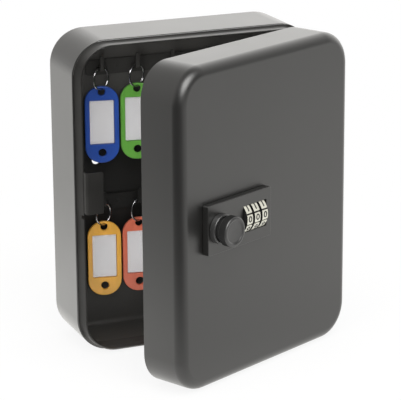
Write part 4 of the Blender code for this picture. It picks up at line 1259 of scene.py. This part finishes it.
class CABINET_OT_tags(bpy.types.Operator):
    """Models one tag frame, copies it, and finishes the labels and panes"""

    bl_idname = "cabinet.tags"
    bl_label = "Tags"

    def execute(self, context):
        frame_one = self.make_frame(context.scene.cabinet_sizes.tag_edge)
        for colour in TAG_COLOURS:
            node = "tag_frame_" + colour
            one = put(copy_of(frame_one, node + "_moulded"), tag_place(colour))
            finish_piece(one, "tag_plastic_" + colour, "tag_" + colour,
                         (node,), 40)
            dress(frame["nodes"]["tag_label_" + colour], "paper")
            dress(frame["nodes"]["tag_pane_" + colour], "clear")
        throw_away(frame_one)
        return {"FINISHED"}

    def make_frame(self, edge):
        """A rounded frame with a pocket to the front and an eye at each end."""
        end_radius, gap, pocket_corner, over = 0.0105, 0.0003, 0.0008, 0.001
        low, high = box_in(tag_place("blue"), "tag_frame_blue")
        label_low, label_high = box_in(tag_place("blue"), "tag_label_blue")
        tag = rounded_box("tag_frame", low, high, end_radius, 16)
        bevel_edges(lambda line: any(abs(face.normal.y) > NEARLY for face in line.link_faces),
                    edge, TIP_SEGMENTS)
        cutters = [rounded_box(
            "pocket", (label_low.x - gap, low.y - OVERCUT, label_low.z - gap),
            (label_high.x + gap, label_high.y + gap, label_high.z + gap),
            pocket_corner, TIP_SEGMENTS)]
        # Height and radius of each eye, and how its edge widens outwards
        eyes = ((high.z - 0.0037, 0.0023), (low.z + 0.0066, 0.0025))
        flare = [(0.0011, -over), (0.0007, 0), (0.0002, 0.0003), (0, 0.0007)]
        for z, radius in eyes:
            profile = [(0, low.y - over)] + [(radius + out, low.y + up) for out, up in flare]
            profile += [(radius + out, high.y - up) for out, up in reversed(flare)]
            profile += [(0, high.y + over)]
            cutters.append(add_turned("eye", profile, (0, 0, z), FRONT_BACK, LEFT_RIGHT, 48))
        carve(tag, cutters)
        return soften_slightly(tag, 0.00018)


# Stage

class CABINET_OT_stage(bpy.types.Operator):
    """Sets up the floor, the light and the camera"""

    bl_idname = "cabinet.stage"
    bl_label = "Stage"

    def execute(self, context):
        backdrop = rgba(context.scene.cabinet_colours.backdrop)
        self.make_floor(backdrop)
        self.make_world(context, backdrop)
        self.make_lamp()
        self.make_camera(context)
        context.scene.view_settings.view_transform = "Standard"
        return {"FINISHED"}

    def make_floor(self, backdrop):
        """A pale floor that keeps the cabinet's soft shadow and is white further out; it also
        glows, giving painted light from below and painted reflections.
        """
        put_down()
        bpy.ops.mesh.primitive_plane_add(size=1.8, location=(0, 0.6, SOLIDS_BOX[0].z - 0.0004))
        floor = settle("studio_floor")
        look = Look("floor_paint")
        look.set(Base_Color=look.mixed(look.noise(0.02, 3.0), grey(0.80), grey(0.84)),
                 Roughness=0.9)
        level = look.coordinates((1.0, 1.0, 0.0))
        away = look.measure("DISTANCE", level, (0.0, 0.0, 0.0))
        aside = look.measure("DISTANCE", level, (-0.12, 0.05, 0.0))
        behind, right, depth = [
            look.measure("DOT_PRODUCT", level, way)
            for way in ((0.55, 0.835, 0.0), (1.0, -0.3, 0.0), (0.0, 1.0, 0.0))]
        # In gloss the floor glows as a painted reflection: bright beside and behind the cabinet,
        # dark in front of it
        near = look.mixed(depth.between(-0.1, 0.35), (0.8, 0.79, 0.77), (1.15, 1.14, 1.1))
        near = look.mixed(aside.between(0.05, 0.3), (1.5, 1.485, 1.44), near)
        near = look.mixed(right.between(0.02, 0.3), near, (1.04, 1.03, 1.0))
        shine = look.mixed(behind.between(-0.45, -0.15), grey(0.02), near)
        # In diffuse light the floor glows as painted light from below, brightest close by
        table = look.mixed(away.between(0.1, 0.4), (3.4, 3.38, 3.34), grey(0.8))
        gloss, diffuse = look.ray("Is Glossy Ray"), look.ray("Is Diffuse Ray")
        seen = look.mixed(diffuse, backdrop, table)
        glow = look.node("ShaderNodeEmission", {"Color": look.mixed(gloss, seen, shine),
                                                "Strength": 1.0})
        plain = 0.88 + away.between(0.15, 0.32)*0.12
        whole = look.blend(look.seen_by_eye()*plain + gloss + diffuse,
                           Value(look, look.shader.outputs[0]), glow)
        output = look.tree.nodes["Material Output"]
        look.feed(output.inputs["Surface"], whole)
        floor.data.materials.append(look.material)

    def make_world(self, context, backdrop):
        """Soft light; white to the eye; in gloss bright behind the cabinet and dark in front."""
        world = context.scene.world or bpy.data.worlds.new("studio")
        context.scene.world = world
        world.use_nodes = True
        world.node_tree.nodes.clear()
        look = Look("studio", world.node_tree)

        def toward(way):
            """How far a ray runs along a direction."""
            ray = look.node("ShaderNodeTexCoord", output="Generated")
            return look.measure("DOT_PRODUCT", ray, way)

        def sky(colour, *lobes):
            """A background colour that turns to others toward some directions."""
            for way, start, full, bright in lobes:
                colour = look.mixed(toward(way).between(start, full), colour, bright)
            return colour

        def glow(colour):
            return look.node("ShaderNodeBackground", {"Color": colour, "Strength": 1.0})

        light = sky((0.5, 0.497, 0.49),
                    ((-0.6, -0.7, 0.38), 0.5, 0.95, (2.3, 2.28, 2.24)),
                    ((-0.1, -0.36, 0.93), 0.6, 0.95, (2.0, 1.985, 1.95)))
        above = sky(grey(0.03),
                    ((0.552, 0.834, 0.0), 0.2, 0.85, (1.62, 1.6, 1.56)),
                    ((-0.75, 0.6, 0.3), 0.3, 0.8, (0.66, 0.65, 0.63)),
                    ((0.13, -0.72, 0.68), 0.84, 0.96, (4.6, 4.55, 4.45)))
        below = sky((0.88, 0.87, 0.85), ((-0.62, -0.79, 0.0), 0.2, 0.85, grey(0.005)))
        shine = sky(below, ((0.0, 0.0, 1.0), -0.06, 0.02, above))
        whole = look.blend(look.ray("Is Glossy Ray"), glow(light), glow(shine))
        whole = look.blend(look.seen_by_eye(), whole, glow(backdrop))
        output = look.tree.nodes.new("ShaderNodeOutputWorld")
        look.feed(output.inputs["Surface"], whole)

    def make_lamp(self):
        """A large soft panel above the front, which looks at the cabinet."""
        spot = Vector((0.13, -1.13, 1.08))
        put_down()
        bpy.ops.object.light_add(type="AREA", location=spot,
                                 rotation=(-spot).to_track_quat("-Z", "Y").to_euler())
        lamp = bpy.context.object
        lamp.name = "key_panel"
        lamp.data.shape = "SQUARE"
        lamp.data.size = 1.0
        lamp.data.energy = 9

    def make_camera(self, context):
        """The camera, fitted to the view from the front left and above."""
        yaw, pitch, roll = 22.46, 16.48, -0.37
        spot, sensor, focal_pixels, width_pixels = (-0.49229, -1.24546, 0.37514), 36.0, 2138.76, 401
        turn = Matrix.Identity(3)
        for degrees, axis in ((-yaw, "Z"), (90 - pitch, "X"), (roll, "Z")):
            turn = turn @ Matrix.Rotation(radians(degrees), 3, axis)
        put_down()
        bpy.ops.object.camera_add(location=spot, rotation=turn.to_euler())
        camera = bpy.context.object
        camera.name = "photo_camera"
        camera.data.sensor_width = sensor
        camera.data.lens = sensor*focal_pixels/width_pixels
        camera.data.clip_start = 0.01
        camera.data.clip_end = 100.0
        context.scene.camera = camera


OPERATORS = (CABINET_OT_body, CABINET_OT_inner_frame, CABINET_OT_keeper, CABINET_OT_hook_rails,
             CABINET_OT_door, CABINET_OT_hinges, CABINET_OT_lock_plate, CABINET_OT_knob,
             CABINET_OT_number_wheels, CABINET_OT_lock_works, CABINET_OT_key_rings, CABINET_OT_tags,
             CABINET_OT_stage)


class CABINET_PT_build(bpy.types.Panel):
    """Lists the cabinet's sizes, colours and pieces"""

    bl_label = "Key cabinet"
    bl_idname = "CABINET_PT_build"
    bl_space_type = "VIEW_3D"
    bl_region_type = "UI"
    bl_category = "Key cabinet"

    def draw(self, context):
        for group in (context.scene.cabinet_sizes, context.scene.cabinet_colours):
            box = self.layout.box()
            for name in group.__annotations__:
                box.prop(group, name)
        for operator in OPERATORS:
            self.layout.operator(operator.bl_idname)


CLASSES = (CabinetSizes, CabinetColours, *OPERATORS, CABINET_PT_build)


def register():
    """Registers the classes and puts the settings on the scene."""
    for item in CLASSES:
        bpy.utils.register_class(item)
    bpy.types.Scene.cabinet_sizes = PointerProperty(type=CabinetSizes)
    bpy.types.Scene.cabinet_colours = PointerProperty(type=CabinetColours)


def unregister():
    """Takes the settings and the classes away again."""
    del bpy.types.Scene.cabinet_colours
    del bpy.types.Scene.cabinet_sizes
    for item in reversed(CLASSES):
        bpy.utils.unregister_class(item)


def main():
    """Runs every operator in order."""
    register()
    for operator in OPERATORS:
        group, name = operator.bl_idname.split(".")
        getattr(getattr(bpy.ops, group), name)()


if __name__ == "__main__":
    main()
